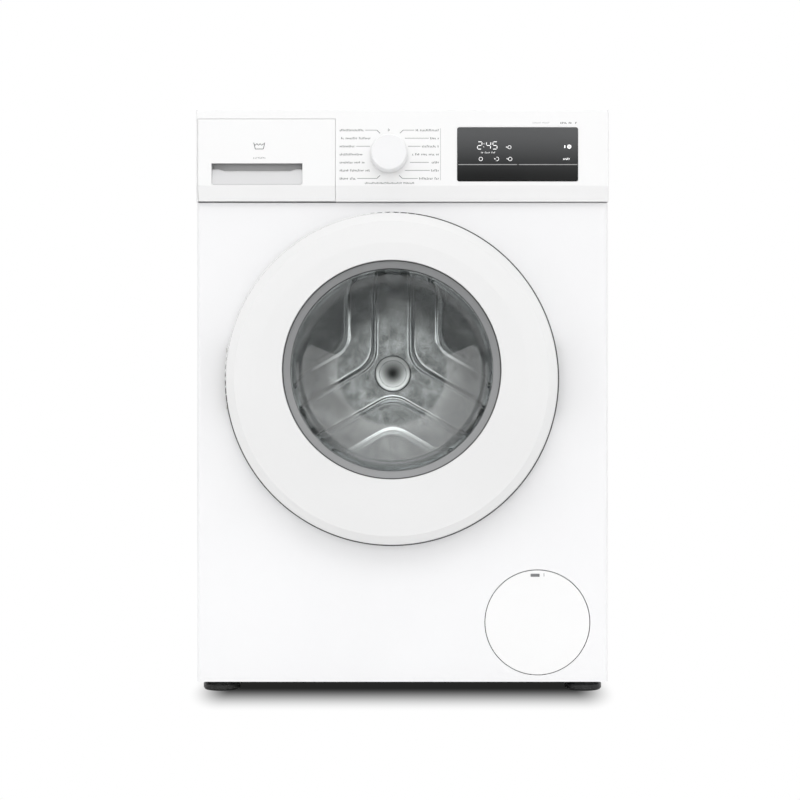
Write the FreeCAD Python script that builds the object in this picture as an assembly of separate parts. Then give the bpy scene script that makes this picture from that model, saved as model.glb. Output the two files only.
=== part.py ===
import FreeCAD, Part
import math
import os

# Front load washing machine, millimetres. +Z is up and the front faces -Y.
# The origin is on the floor, at the centre of the machine's footprint.

V = FreeCAD.Vector

# Cabinet
HALF_WIDTH = 299.0
HALF_DEPTH = 316.0
HEIGHT = 848.0
CABINET_BOTTOM = 15.0
FRONT = -272.0
PANEL_RETURN = -258.0
REAR = 294.5
SHEET = 1.2
PANEL_TOP = 712.0
WORKTOP_THICK = 18.0
WORKTOP_BACK = 300.0
WORKTOP_UNDER = HEIGHT - WORKTOP_THICK

# Porthole, tub and drum share one axis, parallel to Y
AXIS_X = -15.5
AXIS_Z = 468.5
PORTHOLE_R = 172.0
TUB_R = 262.0
TUB_WALL = 5.0
TUB_FRONT = -205.0
TUB_BACK = 135.0
TUB_SPLIT = -34.5
TUB_FLANGE_R = 266.0
TUB_MOUTH_R = 178.0
DRUM_R = 238.2
DRUM_SHEET = 1.2
DRUM_FRONT = -188.0
DRUM_BACK = 108.0
DRUM_MOUTH_R = 172.0

# Door: the ring is centred a little below the porthole axis
RING_Z = 455.6
RING_R = 240.0
RING_BACK = -276.0
WINDOW_R = 157.3
HINGE_X = -246.5
HINGE_Y = -294.0
HINGE_PIN_R = 4.0
HOOK_X = 190.0
HOOK_Y = -288.0
HOOK_Z = 456.0
HOOK_PIN_R = 3.0

# Control fascia and drawer
FASCIA_FRONT = -286.0
FASCIA_BOTTOM = 713.0
FASCIA_TOP = 846.0
FASCIA_WALL = 2.5
BEVEL_TOP = 735.0
BEVEL_FRONT = -280.0
DRAWER_LEFT = -296.0
DRAWER_RIGHT = -97.5
DRAWER_TOP = 831.5
DRAWER_GAP = 0.5
KNOB_X = -19.6
KNOB_Z = 781.0
KNOB_R = 27.2
KNOB_FRONT = -309.5
SPINDLE_R = 3.0
DISPLAY_X = (79.3, 253.9)
DISPLAY_Z = (741.5, 819.5)

# Service flap, filter and pump
FLAP_X = 196.3
FLAP_Z = 101.4
FLAP_R = 75.8
FLAP_HOLE_R = 77.0
FLAP_THICK = 2.5
FLAP_PIVOT_Y = -267.0
FLAP_PIVOT_Z = 20.0
FLAP_PIN_R = 1.6
FLAP_ARM_HALF = 7.5
PUMP_X = 196.0
PUMP_Z = 85.0
FILTER_R = 26.0

# Drive and suspension
SHAFT_R = 12.5
MOTOR_Z = 130.0
MOTOR_R = 60.0
MOTOR_SHAFT_R = 6.0
DRUM_PULLEY_R = 135.0
MOTOR_PULLEY_R = 10.0
PULLEY_Y = (218.0, 238.0)
BELT_Y = (222.0, 234.0)
BELT_THICK = 2.6
BELT_GAP = 0.35
SPRING_OFFSET = 200.0
DAMPER_OFFSET = 150.0
SUSPENSION_Y = 30.0
DAMPER_ROD_R = 5.0

# Feet
FOOT_X = 266.0
FOOT_Y = (-236.0, 262.0)
FOOT_SHAFT_R = 5.0

# Water and mains connections on the back
INLET_X = -225.0
INLET_Z = 775.0
INLET_R = 13.2
DRAIN_X = 262.0
DRAIN_R = 10.5
DRAIN_PIPE_R = 9.0
STUB_ROOM = 4.0          # free width round each stub for the nut or clip of a hose
GLAND_X = 240.0
GLAND_Z = 760.0
COVER_X = (-175.5, 144.5)
COVER_Z = (95.0, 625.0)
TRANSIT_OFFSET = 182.0
SCREW_R = 1.9

RUN = 0.05  # radial clearance of a running fit


def block(x, y, z):
    return Part.makeBox(x[1] - x[0], y[1] - y[0], z[1] - z[0], V(x[0], y[0], z[0]))


def rod_x(y, z, r, x):
    return Part.makeCylinder(r, x[1] - x[0], V(x[0], y, z), V(1, 0, 0))


def rod_y(x, z, r, y):
    return Part.makeCylinder(r, y[1] - y[0], V(x, y[0], z), V(0, 1, 0))


def rod_z(x, y, r, z):
    return Part.makeCylinder(r, z[1] - z[0], V(x, y, z[0]), V(0, 0, 1))


def tube_y(x, z, outer, inner, y):
    return rod_y(x, z, outer, y).cut(rod_y(x, z, inner, (y[0] - 1, y[1] + 1)))


def tube_z(x, y, outer, inner, z):
    return rod_z(x, y, outer, z).cut(rod_z(x, y, inner, (z[0] - 1, z[1] + 1)))


def rounded(shape, axis, radius):
    """Rounds every straight edge that runs along one axis, given as 0, 1 or 2."""
    edges = []
    for edge in shape.Edges:
        run = edge.Vertexes[1].Point - edge.Vertexes[0].Point if len(edge.Vertexes) == 2 else V()
        across = [abs(run[i]) for i in range(3) if i != axis]
        if abs(run[axis]) > 1e-6 and max(across) < 1e-6:
            edges.append(edge)
    return shape.makeFillet(radius, edges)


def turned_y(x, z, profile):
    """Turns a closed profile of (radius, y) points about the line along Y through x and z."""
    points = [V(x + r, y, z) for r, y in profile]
    face = Part.Face(Part.makePolygon(points + points[:1]))
    return face.revolve(V(x, 0, z), V(0, 1, 0), 360)


def turned_z(x, y, profile):
    """Turns a closed profile of (radius, z) points about the vertical line through x and y."""
    points = [V(x + r, y, z) for r, z in profile]
    face = Part.Face(Part.makePolygon(points + points[:1]))
    return face.revolve(V(x, y, 0), V(0, 0, 1), 360)


def prism_x(outline, x):
    """Carries a closed outline of (y, z) points along X."""
    points = [V(x[0], y, z) for y, z in outline]
    return Part.Face(Part.makePolygon(points + points[:1])).extrude(V(x[1] - x[0], 0, 0))


def prism_y(outline, y):
    """Carries a closed outline of (x, z) points along Y."""
    points = [V(px, y[0], pz) for px, pz in outline]
    return Part.Face(Part.makePolygon(points + points[:1])).extrude(V(0, y[1] - y[0], 0))


def three_round_axis(shape):
    """Three copies of a shape, a third of a turn apart about the drum axis."""
    copies = []
    for turn in range(3):
        copy = shape.copy()
        copy.rotate(V(AXIS_X, 0, AXIS_Z), V(0, 1, 0), 120 * turn)
        copies.append(copy)
    return copies


def fused(shapes):
    return shapes[0].multiFuse(shapes[1:]).removeSplitter()


def mirrored(shape):
    return shape.mirror(V(0, 0, 0), V(1, 0, 0))


def bent_pipe(points, bends, outer):
    """A round bar along straight runs that are joined by tangent arcs, one radius for each corner."""
    edges = []
    start = points[0]
    for before, corner, after, radius in zip(points, points[1:], points[2:], bends):
        come = (corner - before).normalize()
        go = (after - corner).normalize()
        reach = radius * math.tan(come.getAngle(go) / 2)
        first = corner - come * reach
        last = corner + go * reach
        centre = first + (go - come * come.dot(go)).normalize() * radius
        middle = centre + (corner - centre).normalize() * radius
        edges.append(Part.LineSegment(start, first).toShape())
        edges.append(Part.Arc(first, middle, last).toShape())
        start = last
    edges.append(Part.LineSegment(start, points[-1]).toShape())
    path = Part.Wire(edges)
    ring = Part.Wire(Part.makeCircle(outer, points[0], points[1] - points[0]))
    return path.makePipeShell([ring], True, True)


# ---- Screw places, shared by the holes and the screws: (x, z) on the back

def cover_screws():
    x0, x1 = COVER_X[0] + 6, COVER_X[1] - 6
    z0, z1 = COVER_Z[0] + 6, COVER_Z[1] - 6
    mid_x = (x0 + x1) / 2
    rows = [z0 + 70, (z0 + z1) / 2, z1 - 70]
    return [(x, z) for z in rows for x in (x0, x1)] + [(mid_x, z0), (mid_x, z1)]


def rear_edge_screws():
    return [(x, z) for x in (-288.0, 288.0) for z in (60.0, 250.0, 440.0, 630.0, 812.0)]


# ---- Cabinet

def side_panel():
    """Right-hand side: a sheet with a shallow pressed panel and a folded rear edge."""
    press = 3.0
    corner = 30.0
    y, z = (-190.0, 230.0), (110.0, 740.0)
    outside = (HALF_WIDTH - SHEET, HALF_WIDTH)
    sheet = block(outside, (PANEL_RETURN + 0.5, REAR - 0.5), (CABINET_BOTTOM, WORKTOP_UNDER - 0.5))
    sheet = sheet.cut(rounded(block((outside[0] - 1, outside[1] + 1), y, z), 0, corner))
    dish = rounded(block((outside[0] - press, outside[1]), y, z), 0, corner)
    y_in = (y[0] + SHEET, y[1] - SHEET)
    z_in = (z[0] + SHEET, z[1] - SHEET)
    hollow = block((outside[1] - press, outside[1] + 1), y_in, z_in)
    dish = dish.cut(rounded(hollow, 0, corner - SHEET))
    fold = block((HALF_WIDTH - 20, HALF_WIDTH - SHEET / 2), (REAR - 0.5 - SHEET, REAR - 0.5),
                 (CABINET_BOTTOM, WORKTOP_UNDER - 0.5))
    holes = [rod_y(x, z, SCREW_R + 0.1, (REAR - 3, REAR)) for x, z in rear_edge_screws() if x > 0]
    return fused([sheet, dish, fold]).cut(holes)


def front_panel():
    """Pressed front with a rolled porthole rim, the round flap opening and the lock slot."""
    outer = block((-HALF_WIDTH, HALF_WIDTH), (FRONT, PANEL_RETURN + 12), (CABINET_BOTTOM, PANEL_TOP))
    outer = rounded(outer, 2, 6.0)
    outer = outer.common(block((-400, 400), (-400, PANEL_RETURN), (0, HEIGHT)))
    inner = block((SHEET - HALF_WIDTH, HALF_WIDTH - SHEET), (FRONT + SHEET, PANEL_RETURN + 12),
                  (CABINET_BOTTOM - 1, PANEL_TOP + 1))
    panel = outer.cut(rounded(inner, 2, 6.0 - SHEET))
    lower_fold = block((6 - HALF_WIDTH, HALF_WIDTH - 6), (FRONT + SHEET / 2, PANEL_RETURN),
                       (CABINET_BOTTOM, CABINET_BOTTOM + SHEET))
    rim = tube_y(AXIS_X, AXIS_Z, PORTHOLE_R + SHEET, PORTHOLE_R, (FRONT + SHEET / 2, PANEL_RETURN))
    panel = fused([panel, lower_fold, rim])
    panel = panel.cut(rod_y(AXIS_X, AXIS_Z, PORTHOLE_R, (FRONT - 1, PANEL_RETURN + 1)))
    panel = panel.cut(rod_y(FLAP_X, FLAP_Z, FLAP_HOLE_R, (FRONT - 1, PANEL_RETURN)))
    slot = block((HOOK_X - 11, HOOK_X + 15), (FRONT - 1, FRONT + 3), (HOOK_Z - 10, HOOK_Z + 10))
    return panel.cut(slot)


def rear_panel():
    """Back sheet with the belt opening, the screw holes and the holes for the connections."""
    sheet = block((4 - HALF_WIDTH, HALF_WIDTH - 4), (REAR, REAR + SHEET),
                  (CABINET_BOTTOM + 1, WORKTOP_UNDER - 1))
    through = (REAR - 1, REAR + SHEET + 1)
    opening = block((COVER_X[0] + 12, COVER_X[1] - 12), through, (COVER_Z[0] + 12, COVER_Z[1] - 12))
    holes = [rounded(opening, 1, 48.0)]
    holes += [rod_y(x, z, SCREW_R + 0.1, through) for x, z in cover_screws() + rear_edge_screws()]
    holes += [rod_y(x, z, 6.2, through) for x, z in transit_places()]
    holes += [rod_y(INLET_X, INLET_Z, INLET_R + STUB_ROOM, through)]
    holes += [rod_y(DRAIN_X, PUMP_Z, DRAIN_R + STUB_ROOM, through)]
    holes += [rod_y(GLAND_X, GLAND_Z, 8.2, through)]
    return sheet.cut(holes)


def rear_service_cover():
    """Cover over the belt: a plate with a raised middle, held by eight screws."""
    y = REAR + SHEET
    plate = rounded(block(COVER_X, (y, y + SHEET), COVER_Z), 1, 60.0)
    inset = 26.0
    raised_x = (COVER_X[0] + inset, COVER_X[1] - inset)
    raised_z = (COVER_Z[0] + inset, COVER_Z[1] - inset)
    hump = rounded(block(raised_x, (y, y + 7.0), raised_z), 1, 40.0)
    hollow = block((raised_x[0] + SHEET, raised_x[1] - SHEET), (y - 1, y + 7.0 - SHEET),
                   (raised_z[0] + SHEET, raised_z[1] - SHEET))
    cover = plate.fuse(hump).cut(rounded(hollow, 1, 40.0 - SHEET))
    holes = [rod_y(x, z, SCREW_R + 0.1, (y - 1, y + 3)) for x, z in cover_screws()]
    return cover.cut(holes).removeSplitter()


def worktop():
    board = block((-HALF_WIDTH, HALF_WIDTH), (PANEL_RETURN + 0.5, WORKTOP_BACK), (WORKTOP_UNDER, HEIGHT))
    board = rounded(board, 2, 4.0)
    upper = [e for e in board.Edges if e.BoundBox.ZMin > HEIGHT - 0.01]
    return board.makeFillet(2.0, upper)


def base_tray():
    """Moulded base with raised walls, foot holes and the two lugs that carry the flap."""
    wall = 3.0
    x = (3 - HALF_WIDTH, HALF_WIDTH - 3)
    y = (PANEL_RETURN + 2, REAR - 2)
    tray = block(x, y, (CABINET_BOTTOM, CABINET_BOTTOM + 30))
    tray = tray.cut(block((x[0] + wall, x[1] - wall), (y[0] + wall, y[1] - wall),
                          (CABINET_BOTTOM + wall, CABINET_BOTTOM + 31)))
    lugs = []
    for side in (-1, 1):
        x_lug = sorted((FLAP_X + side * (FLAP_ARM_HALF + 1), FLAP_X + side * (FLAP_ARM_HALF + 5.5)))
        z_lug = (FLAP_PIVOT_Z - 3.2, FLAP_PIVOT_Z + 3.2)
        lugs.append(block(x_lug, (FLAP_PIVOT_Y, y[0] + 1), z_lug))
        lugs.append(rod_x(FLAP_PIVOT_Y, FLAP_PIVOT_Z, 3.2, x_lug))
    tray = fused([tray] + lugs)
    holes = [rod_z(x, y, FOOT_SHAFT_R + 0.6, (CABINET_BOTTOM - 1, CABINET_BOTTOM + 60))
             for x, y in foot_places()]
    pivot = rod_x(FLAP_PIVOT_Y, FLAP_PIVOT_Z, FLAP_PIN_R + RUN, (FLAP_X - 30, FLAP_X + 30))
    return tray.cut(holes + [pivot])


def channel(y, z, wall):
    """A cross rail with an open underside."""
    bar = block((3 - HALF_WIDTH, HALF_WIDTH - 3), y, z)
    return bar.cut(block((2 - HALF_WIDTH, HALF_WIDTH - 2), (y[0] + wall, y[1] - wall),
                         (z[0] - 1, z[1] - wall)))


def top_crossbars():
    """Front, middle and rear rails. The middle one has an eye plate for each spring."""
    middle = channel((10, 50), (806, WORKTOP_UNDER - 2), 2.0)
    for side in (-1, 1):
        at = AXIS_X + side * SPRING_OFFSET
        plate = block((at - 3, at + 3), (SUSPENSION_Y - 12, SUSPENSION_Y + 12), (800, 828))
        middle = middle.fuse(plate)
    return [channel((-268, -240), (680, 711), 2.0), middle.removeSplitter(),
            channel((256, 286), (798, 828), 2.0)]


def foot_places():
    return [(side * FOOT_X, y) for y in FOOT_Y for side in (-1, 1)]


def foot_nuts():
    """Hexagon nuts on the tray floor, one over each foot."""
    nuts = []
    for x, y in foot_places():
        corners = [V(x + 10 * math.cos(a), y + 10 * math.sin(a), CABINET_BOTTOM + 3)
                   for a in (math.radians(60 * i) for i in range(6))]
        nut = Part.Face(Part.makePolygon(corners + corners[:1])).extrude(V(0, 0, 8))
        nuts.append(nut.cut(rod_z(x, y, FOOT_SHAFT_R + RUN, (0, 60))))
    return nuts


def foot(x, y):
    """Round pad with a threaded shaft, taken as a plain cylinder."""
    return turned_z(x, y, [(0, 0), (25, 0), (27, 2.5), (27, 8), (24.5, 11.5), (12, 13),
                           (FOOT_SHAFT_R, 13), (FOOT_SHAFT_R, 58), (0, 58)])


def fascia_outline(back, bottom, top, inset):
    """Section of the fascia or the drawer front in Y and Z, with the bevel along its lower edge."""
    return [(back, bottom + inset), (BEVEL_FRONT + inset * 0.8, bottom + inset),
            (FASCIA_FRONT + inset, BEVEL_TOP + inset * 0.5), (FASCIA_FRONT + inset, top - inset),
            (back, top - inset)]


def control_fascia():
    """Hollow front bar over the whole width, open at the left for the drawer."""
    outer = prism_x(fascia_outline(PANEL_RETURN, FASCIA_BOTTOM, FASCIA_TOP, 0), (-HALF_WIDTH, HALF_WIDTH))
    ends = [e for e in outer.Edges
            if e.BoundBox.XLength < 0.01 and e.BoundBox.YMax < FASCIA_FRONT + 7 and e.BoundBox.ZLength > 1]
    outer = outer.makeFillet(3.0, ends)
    top_edge = [e for e in outer.Edges
                if e.BoundBox.XLength > 100 and e.BoundBox.ZMin > FASCIA_TOP - 0.1
                and e.BoundBox.YMax < FASCIA_FRONT + 1]
    outer = outer.makeFillet(2.0, top_edge)
    inner = prism_x(fascia_outline(PANEL_RETURN + 1, FASCIA_BOTTOM, FASCIA_TOP, FASCIA_WALL),
                    (FASCIA_WALL - HALF_WIDTH, HALF_WIDTH - FASCIA_WALL))
    shell = outer.cut(inner)
    left = DRAWER_LEFT - DRAWER_GAP
    right = DRAWER_RIGHT + DRAWER_GAP
    top = DRAWER_TOP + DRAWER_GAP
    shell = shell.cut(block((left, right), (FASCIA_FRONT - 4, PANEL_RETURN + 1), (700, top)))
    divider = block((right, right + FASCIA_WALL), (FASCIA_FRONT + 2, PANEL_RETURN), (FASCIA_BOTTOM + 1, top))
    shelf = block((left, right + FASCIA_WALL), (FASCIA_FRONT + 2, PANEL_RETURN), (top, top + FASCIA_WALL))
    shell = fused([shell, divider.common(outer), shelf])
    glass = block((DISPLAY_X[0] - 0.3, DISPLAY_X[1] + 0.3), (FASCIA_FRONT - 1, FASCIA_FRONT + 4),
                  (DISPLAY_Z[0] - 0.3, DISPLAY_Z[1] + 0.3))
    spindle = rod_y(KNOB_X, KNOB_Z, 8.0, (FASCIA_FRONT - 1, FASCIA_FRONT + 4))
    return shell.cut([rounded(glass, 1, 3.3), spindle])


def display_window():
    y = (FASCIA_FRONT - 0.6, FASCIA_FRONT + 3.5)
    return rounded(block(DISPLAY_X, y, DISPLAY_Z), 1, 3.0)


def power_module():
    """Control board case behind the display, open at the back."""
    case = block((30, 270), (FASCIA_FRONT + 5, -205), (738, 822))
    return case.cut(block((32.5, 267.5), (FASCIA_FRONT + 7.5, -204), (740.5, 819.5)))


def selector_switch():
    body = block((KNOB_X - 22, KNOB_X + 22), (FASCIA_FRONT + 4, -262), (KNOB_Z - 21, KNOB_Z + 21))
    return body.cut(rod_y(KNOB_X, KNOB_Z, SPINDLE_R + RUN, (FASCIA_FRONT, -260)))


def program_knob():
    """Turned knob with a bevelled face, a shallow pointer groove and its spindle."""
    back = FASCIA_FRONT - 0.8
    knob = turned_y(KNOB_X, KNOB_Z, [
        (0, KNOB_FRONT), (24.4, KNOB_FRONT), (25.6, KNOB_FRONT + 1.2), (KNOB_R, back - 3),
        (KNOB_R, back), (7, back), (7, back + 3), (SPINDLE_R, back + 3), (SPINDLE_R, -264), (0, -264)])
    groove = block((KNOB_X - 1, KNOB_X + 1), (KNOB_FRONT - 1, KNOB_FRONT + 0.6),
                   (KNOB_Z + 10, KNOB_Z + KNOB_R))
    return knob.cut(groove)


HOSE_X = -180.0
HOSE_Y = -120.0


def dispenser_housing():
    """Box round the drawer, open at the front, with the spout to the tub under it."""
    box = block((-293, -100), (-269, -20), (733, 829))
    box = box.cut(block((-291, -102), (-270, -22), (735, 827)))
    spout = rod_z(HOSE_X, HOSE_Y, 14, (715, 734))
    return fused([box, spout]).cut(rod_z(HOSE_X, HOSE_Y, 11, (714, 736)))


def drawer_front():
    """Front of the drawer with a scooped finger recess that is undercut at its top."""
    back = -271.0
    slab = prism_x(fascia_outline(back, FASCIA_BOTTOM + DRAWER_GAP, DRAWER_TOP, 0), (DRAWER_LEFT, DRAWER_RIGHT))
    x = (-276.6, -144.8)
    recess = prism_x([(-290, 736.2), (-285.5, 736.2), (-279, 757), (-273.5, 757), (-273.5, 779),
                      (-281, 779), (-281, 767.7), (-290, 767.7)], x)
    return slab.cut(recess)


def drawer_tray():
    """Tray with three compartments side by side."""
    tray = block((-290, -103), (-271, -40), (738, 800))
    tray = tray.cut([block(x, (-264, -42), (741, 801)) for x in ((-288, -226), (-224, -165), (-163, -105))])
    return tray


def siphon_cap():
    """Cap over the siphon of the middle compartment."""
    cap = block((-223.6, -165.4), (-100, -45), (741, 768))
    cap = cap.cut(block((-221.6, -167.4), (-98, -47), (740, 766)))
    tower = rod_z(-194.5, -72, 12, (766, 784))
    return cap.fuse(tower).removeSplitter()


def inlet_valve():
    """Water valve with its threaded inlet, taken as a plain cylinder, through the back."""
    body = block((INLET_X - 22, INLET_X + 22), (236, REAR), (INLET_Z - 20, INLET_Z + 20))
    stub = rod_y(INLET_X, INLET_Z, INLET_R, (REAR - 1, HALF_DEPTH))
    valve = fused([body, stub])
    return valve.cut(rod_y(INLET_X, INLET_Z, 8.0, (REAR - 20, HALF_DEPTH + 1)))


def pump_housing():
    """Filter chamber, volute and motor in one casting line, standing on the tray."""
    chamber = rod_y(PUMP_X, PUMP_Z, 32, (-240, -130))
    volute = rod_y(PUMP_X, PUMP_Z, 36, (-131, -105))
    motor = rod_y(PUMP_X, PUMP_Z, 28, (-106, -60))
    stand = block((PUMP_X - 14, PUMP_X + 14), (-225, -120), (CABINET_BOTTOM + 3, PUMP_Z - 28))
    inlet = rod_x(-150, PUMP_Z, 14, (140, PUMP_X))
    outlet = rod_x(-118, PUMP_Z, 10, (PUMP_X, 234))
    body = fused([chamber, volute, motor, stand, inlet, outlet])
    body = body.cut([rod_x(-150, PUMP_Z, 11, (139, PUMP_X)), rod_x(-118, PUMP_Z, 7.5, (PUMP_X, 235))])
    body = body.cut(rod_y(PUMP_X, PUMP_Z, FILTER_R + RUN, (-241, -133)))
    return body.cut([rod_y(PUMP_X, PUMP_Z, 25, (-134, -108)), rod_y(PUMP_X, PUMP_Z, 3 + RUN, (-109, -80))])


def pump_filter():
    """Screw-in lint filter: a plug with a grip bar and a slotted basket."""
    plug = rod_y(PUMP_X, PUMP_Z, 30, (-254, -240.5))
    barrel = rod_y(PUMP_X, PUMP_Z, FILTER_R, (-241, -180))
    bar = block((PUMP_X - 24, PUMP_X + 24), (-263, -253), (PUMP_Z - 4, PUMP_Z + 4))
    body = fused([plug, barrel, bar]).cut(rod_y(PUMP_X, PUMP_Z, 22, (-232, -179)))
    slots = [block((PUMP_X - 30, PUMP_X + 30), (y, y + 5), (PUMP_Z - 14, PUMP_Z + 14)) for y in (-222, -210, -198)]
    return body.cut(slots)


def pump_impeller():
    hub = rod_y(PUMP_X, PUMP_Z, 6, (-128, -111))
    shaft = rod_y(PUMP_X, PUMP_Z, 3, (-112, -84))
    blades = []
    for turn in range(4):
        blade = block((PUMP_X - 1, PUMP_X + 1), (-128, -112), (PUMP_Z, PUMP_Z + 22))
        blade.rotate(V(PUMP_X, 0, PUMP_Z), V(0, 1, 0), 90 * turn)
        blades.append(blade)
    return fused([hub, shaft] + blades)


def drain_pipe():
    """Pipe from the pump along the right side to the hose stub on the back."""
    points = [V(234.3, -118, PUMP_Z), V(DRAIN_X, -118, PUMP_Z), V(DRAIN_X, HALF_DEPTH, PUMP_Z)]
    outer = bent_pipe(points, [18.0], DRAIN_PIPE_R)
    stub = rod_y(DRAIN_X, PUMP_Z, DRAIN_R, (REAR - 4.5, HALF_DEPTH))
    return fused([outer, stub]).cut(bent_pipe(points, [18.0], DRAIN_PIPE_R - 2))


def door_lock():
    """Lock case behind the front panel, with the mouth that takes the hook."""
    case = block((172, 214), (FRONT + SHEET + 0.3, -226), (HOOK_Z - 26, HOOK_Z + 26))
    return case.cut(block((HOOK_X - 12, HOOK_X + 16), (FRONT, -240), (HOOK_Z - 12, HOOK_Z + 12)))


def mains_gland():
    flange = tube_y(GLAND_X, GLAND_Z, 15, 4, (REAR + SHEET, REAR + SHEET + 3))
    neck = tube_y(GLAND_X, GLAND_Z, 8, 4, (REAR - 8, REAR + 14))
    return fused([flange, neck])


def transit_places():
    return [(AXIS_X + sx * TRANSIT_OFFSET, AXIS_Z + sz * TRANSIT_OFFSET) for sz in (-1, 1) for sx in (-1, 1)]


def transit_bolt_caps():
    y = REAR + SHEET
    return [turned_y(x, z, [(0, y - 4), (6, y - 4), (6, y), (16, y), (16, y + 2.5), (12, y + 5), (0, y + 5)])
            for x, z in transit_places()]


def screw(x, z, y):
    """Pan-head screw driven towards the front."""
    return turned_y(x, z, [(0, y - 6), (SCREW_R, y - 6), (SCREW_R, y), (4.5, y), (4.2, y + 1.6), (2.6, y + 2.6),
                           (0, y + 2.6)])


def cabinet_screws():
    sheet_back = REAR + SHEET
    on_cover = [screw(x, z, sheet_back + SHEET) for x, z in cover_screws()]
    return on_cover + [screw(x, z, sheet_back) for x, z in rear_edge_screws()]


# ---- Hinge and door

def hinge_bracket():
    """Plate on the front panel with two knuckles, each on a web on the door side of the pin."""
    parts = [block((HINGE_X + 4.5, HINGE_X + 44), (FRONT - 3, FRONT), (RING_Z - 46, RING_Z + 46))]
    for z in ((RING_Z - 44, RING_Z - 24), (RING_Z + 24, RING_Z + 44)):
        parts.append(rod_z(HINGE_X, HINGE_Y, 7.5, z))
        parts.append(block((HINGE_X + 4.5, HINGE_X + 7.5), (HINGE_Y, FRONT), z))
    bore = rod_z(HINGE_X, HINGE_Y, HINGE_PIN_R + 0.02, (RING_Z - 60, RING_Z + 60))
    return fused(parts).cut(bore)


def hinge_pin():
    pin = rod_z(HINGE_X, HINGE_Y, HINGE_PIN_R, (RING_Z - 46, RING_Z + 46))
    return fused([pin, rod_z(HINGE_X, HINGE_Y, 6, (RING_Z + 44.2, RING_Z + 47))])


def hinge_relief(y):
    """Room in the door for the fixed knuckles and their webs."""
    return block((HINGE_X - 12, HINGE_X + 16), y, (RING_Z - 50, RING_Z + 50))


def grip_relief(y):
    """Finger gap behind the edge of the door, on the side away from the hinge."""
    return block((208, 240), y, (RING_Z - 55, RING_Z + 55))


def door_outer_ring():
    """Hollow front moulding: a bevelled rim and a slightly domed face round the window."""
    outer = turned_y(AXIS_X, RING_Z, [(0, RING_BACK), (RING_R, RING_BACK), (RING_R, -303.5), (238.5, -305.5),
                                      (226, -312), (195, -314.5), (150, -HALF_DEPTH), (0, -HALF_DEPTH)])
    inner = turned_y(AXIS_X, RING_Z, [(0, RING_BACK + 1), (RING_R - 3, RING_BACK + 1), (RING_R - 3, -302.5),
                                      (224.5, -309), (0, -312)])
    ring = outer.cut(inner)
    tube = tube_y(AXIS_X, AXIS_Z, WINDOW_R + 3, WINDOW_R, (-313, -285))
    ring = ring.fuse(tube).cut(rod_y(AXIS_X, AXIS_Z, WINDOW_R, (-330, -270)))
    return ring.cut([hinge_relief((-303, -270)), grip_relief((-299, -270))]).removeSplitter()


def door_inner_frame():
    """Back ring of the door, with the ears that carry the hook."""
    y = (RING_BACK - 4, RING_BACK)
    plate = rod_y(AXIS_X, RING_Z, RING_R - 3.6, y)
    collar = tube_y(AXIS_X, AXIS_Z, 168, 164.6, (-290, RING_BACK))
    frame = plate.fuse(collar).cut(rod_y(AXIS_X, AXIS_Z, 158.4, (-300, -270)))
    frame = frame.cut([hinge_relief((-303, -270)), grip_relief((-299, -270))])
    slot = block((HOOK_X - 11, HOOK_X + 15), (-300, -270), (HOOK_Z - 10, HOOK_Z + 10))
    frame = frame.cut(slot)
    ears = [block((HOOK_X - 8, HOOK_X + 8), (HOOK_Y - 8, RING_BACK - 2), z)
            for z in ((HOOK_Z - 18, HOOK_Z - 12), (HOOK_Z + 12, HOOK_Z + 18))]
    bore = rod_z(HOOK_X, HOOK_Y, HOOK_PIN_R + RUN, (HOOK_Z - 40, HOOK_Z + 40))
    return fused([frame] + ears).cut(bore)


def door_glass():
    """Bowl that reaches into the drum mouth, with a flange held between the two door rings."""
    return turned_y(AXIS_X, AXIS_Z, [
        (156.9, -300), (156.9, -284.6), (164, -284.6), (164, -280.2), (157.8, -280.2), (156.5, -272),
        (153.6, -216), (149, -204), (138, -197), (80, -190), (0, -188), (0, -192), (79, -194), (136.5, -201),
        (146, -207.5), (149.8, -217), (152.6, -272), (154.4, -300)])


def door_hinge_arm():
    """Middle knuckle and the leaf that is fixed in the door."""
    parts = [rod_z(HINGE_X, HINGE_Y, 7.5, (RING_Z - 22, RING_Z + 22)),
             block((HINGE_X, HINGE_X + 27), (HINGE_Y - 3, HINGE_Y + 3), (RING_Z - 21, RING_Z + 21)),
             block((HINGE_X + 26, HINGE_X + 54), (HINGE_Y - 3, HINGE_Y + 3), (RING_Z - 45, RING_Z + 45))]
    bore = rod_z(HINGE_X, HINGE_Y, HINGE_PIN_R + RUN, (RING_Z - 30, RING_Z + 30))
    return fused(parts).cut(bore)


def door_hook():
    shank = block((HOOK_X - 3, HOOK_X + 3), (HOOK_Y - 4, -250), (HOOK_Z - 6, HOOK_Z + 6))
    nose = hook_nose()
    pin = rod_z(HOOK_X, HOOK_Y, HOOK_PIN_R, (HOOK_Z - 19, HOOK_Z + 19))
    return fused([shank, nose, pin])


def hook_nose():
    """Catch of the hook, sloping towards its tip."""
    z = HOOK_Z - 6
    outline = [V(HOOK_X + 2, -258, z), V(HOOK_X + 9, -258, z), V(HOOK_X + 3, -248, z), V(HOOK_X + 2, -248, z)]
    return Part.Face(Part.makePolygon(outline + outline[:1])).extrude(V(0, 0, 12))


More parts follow.
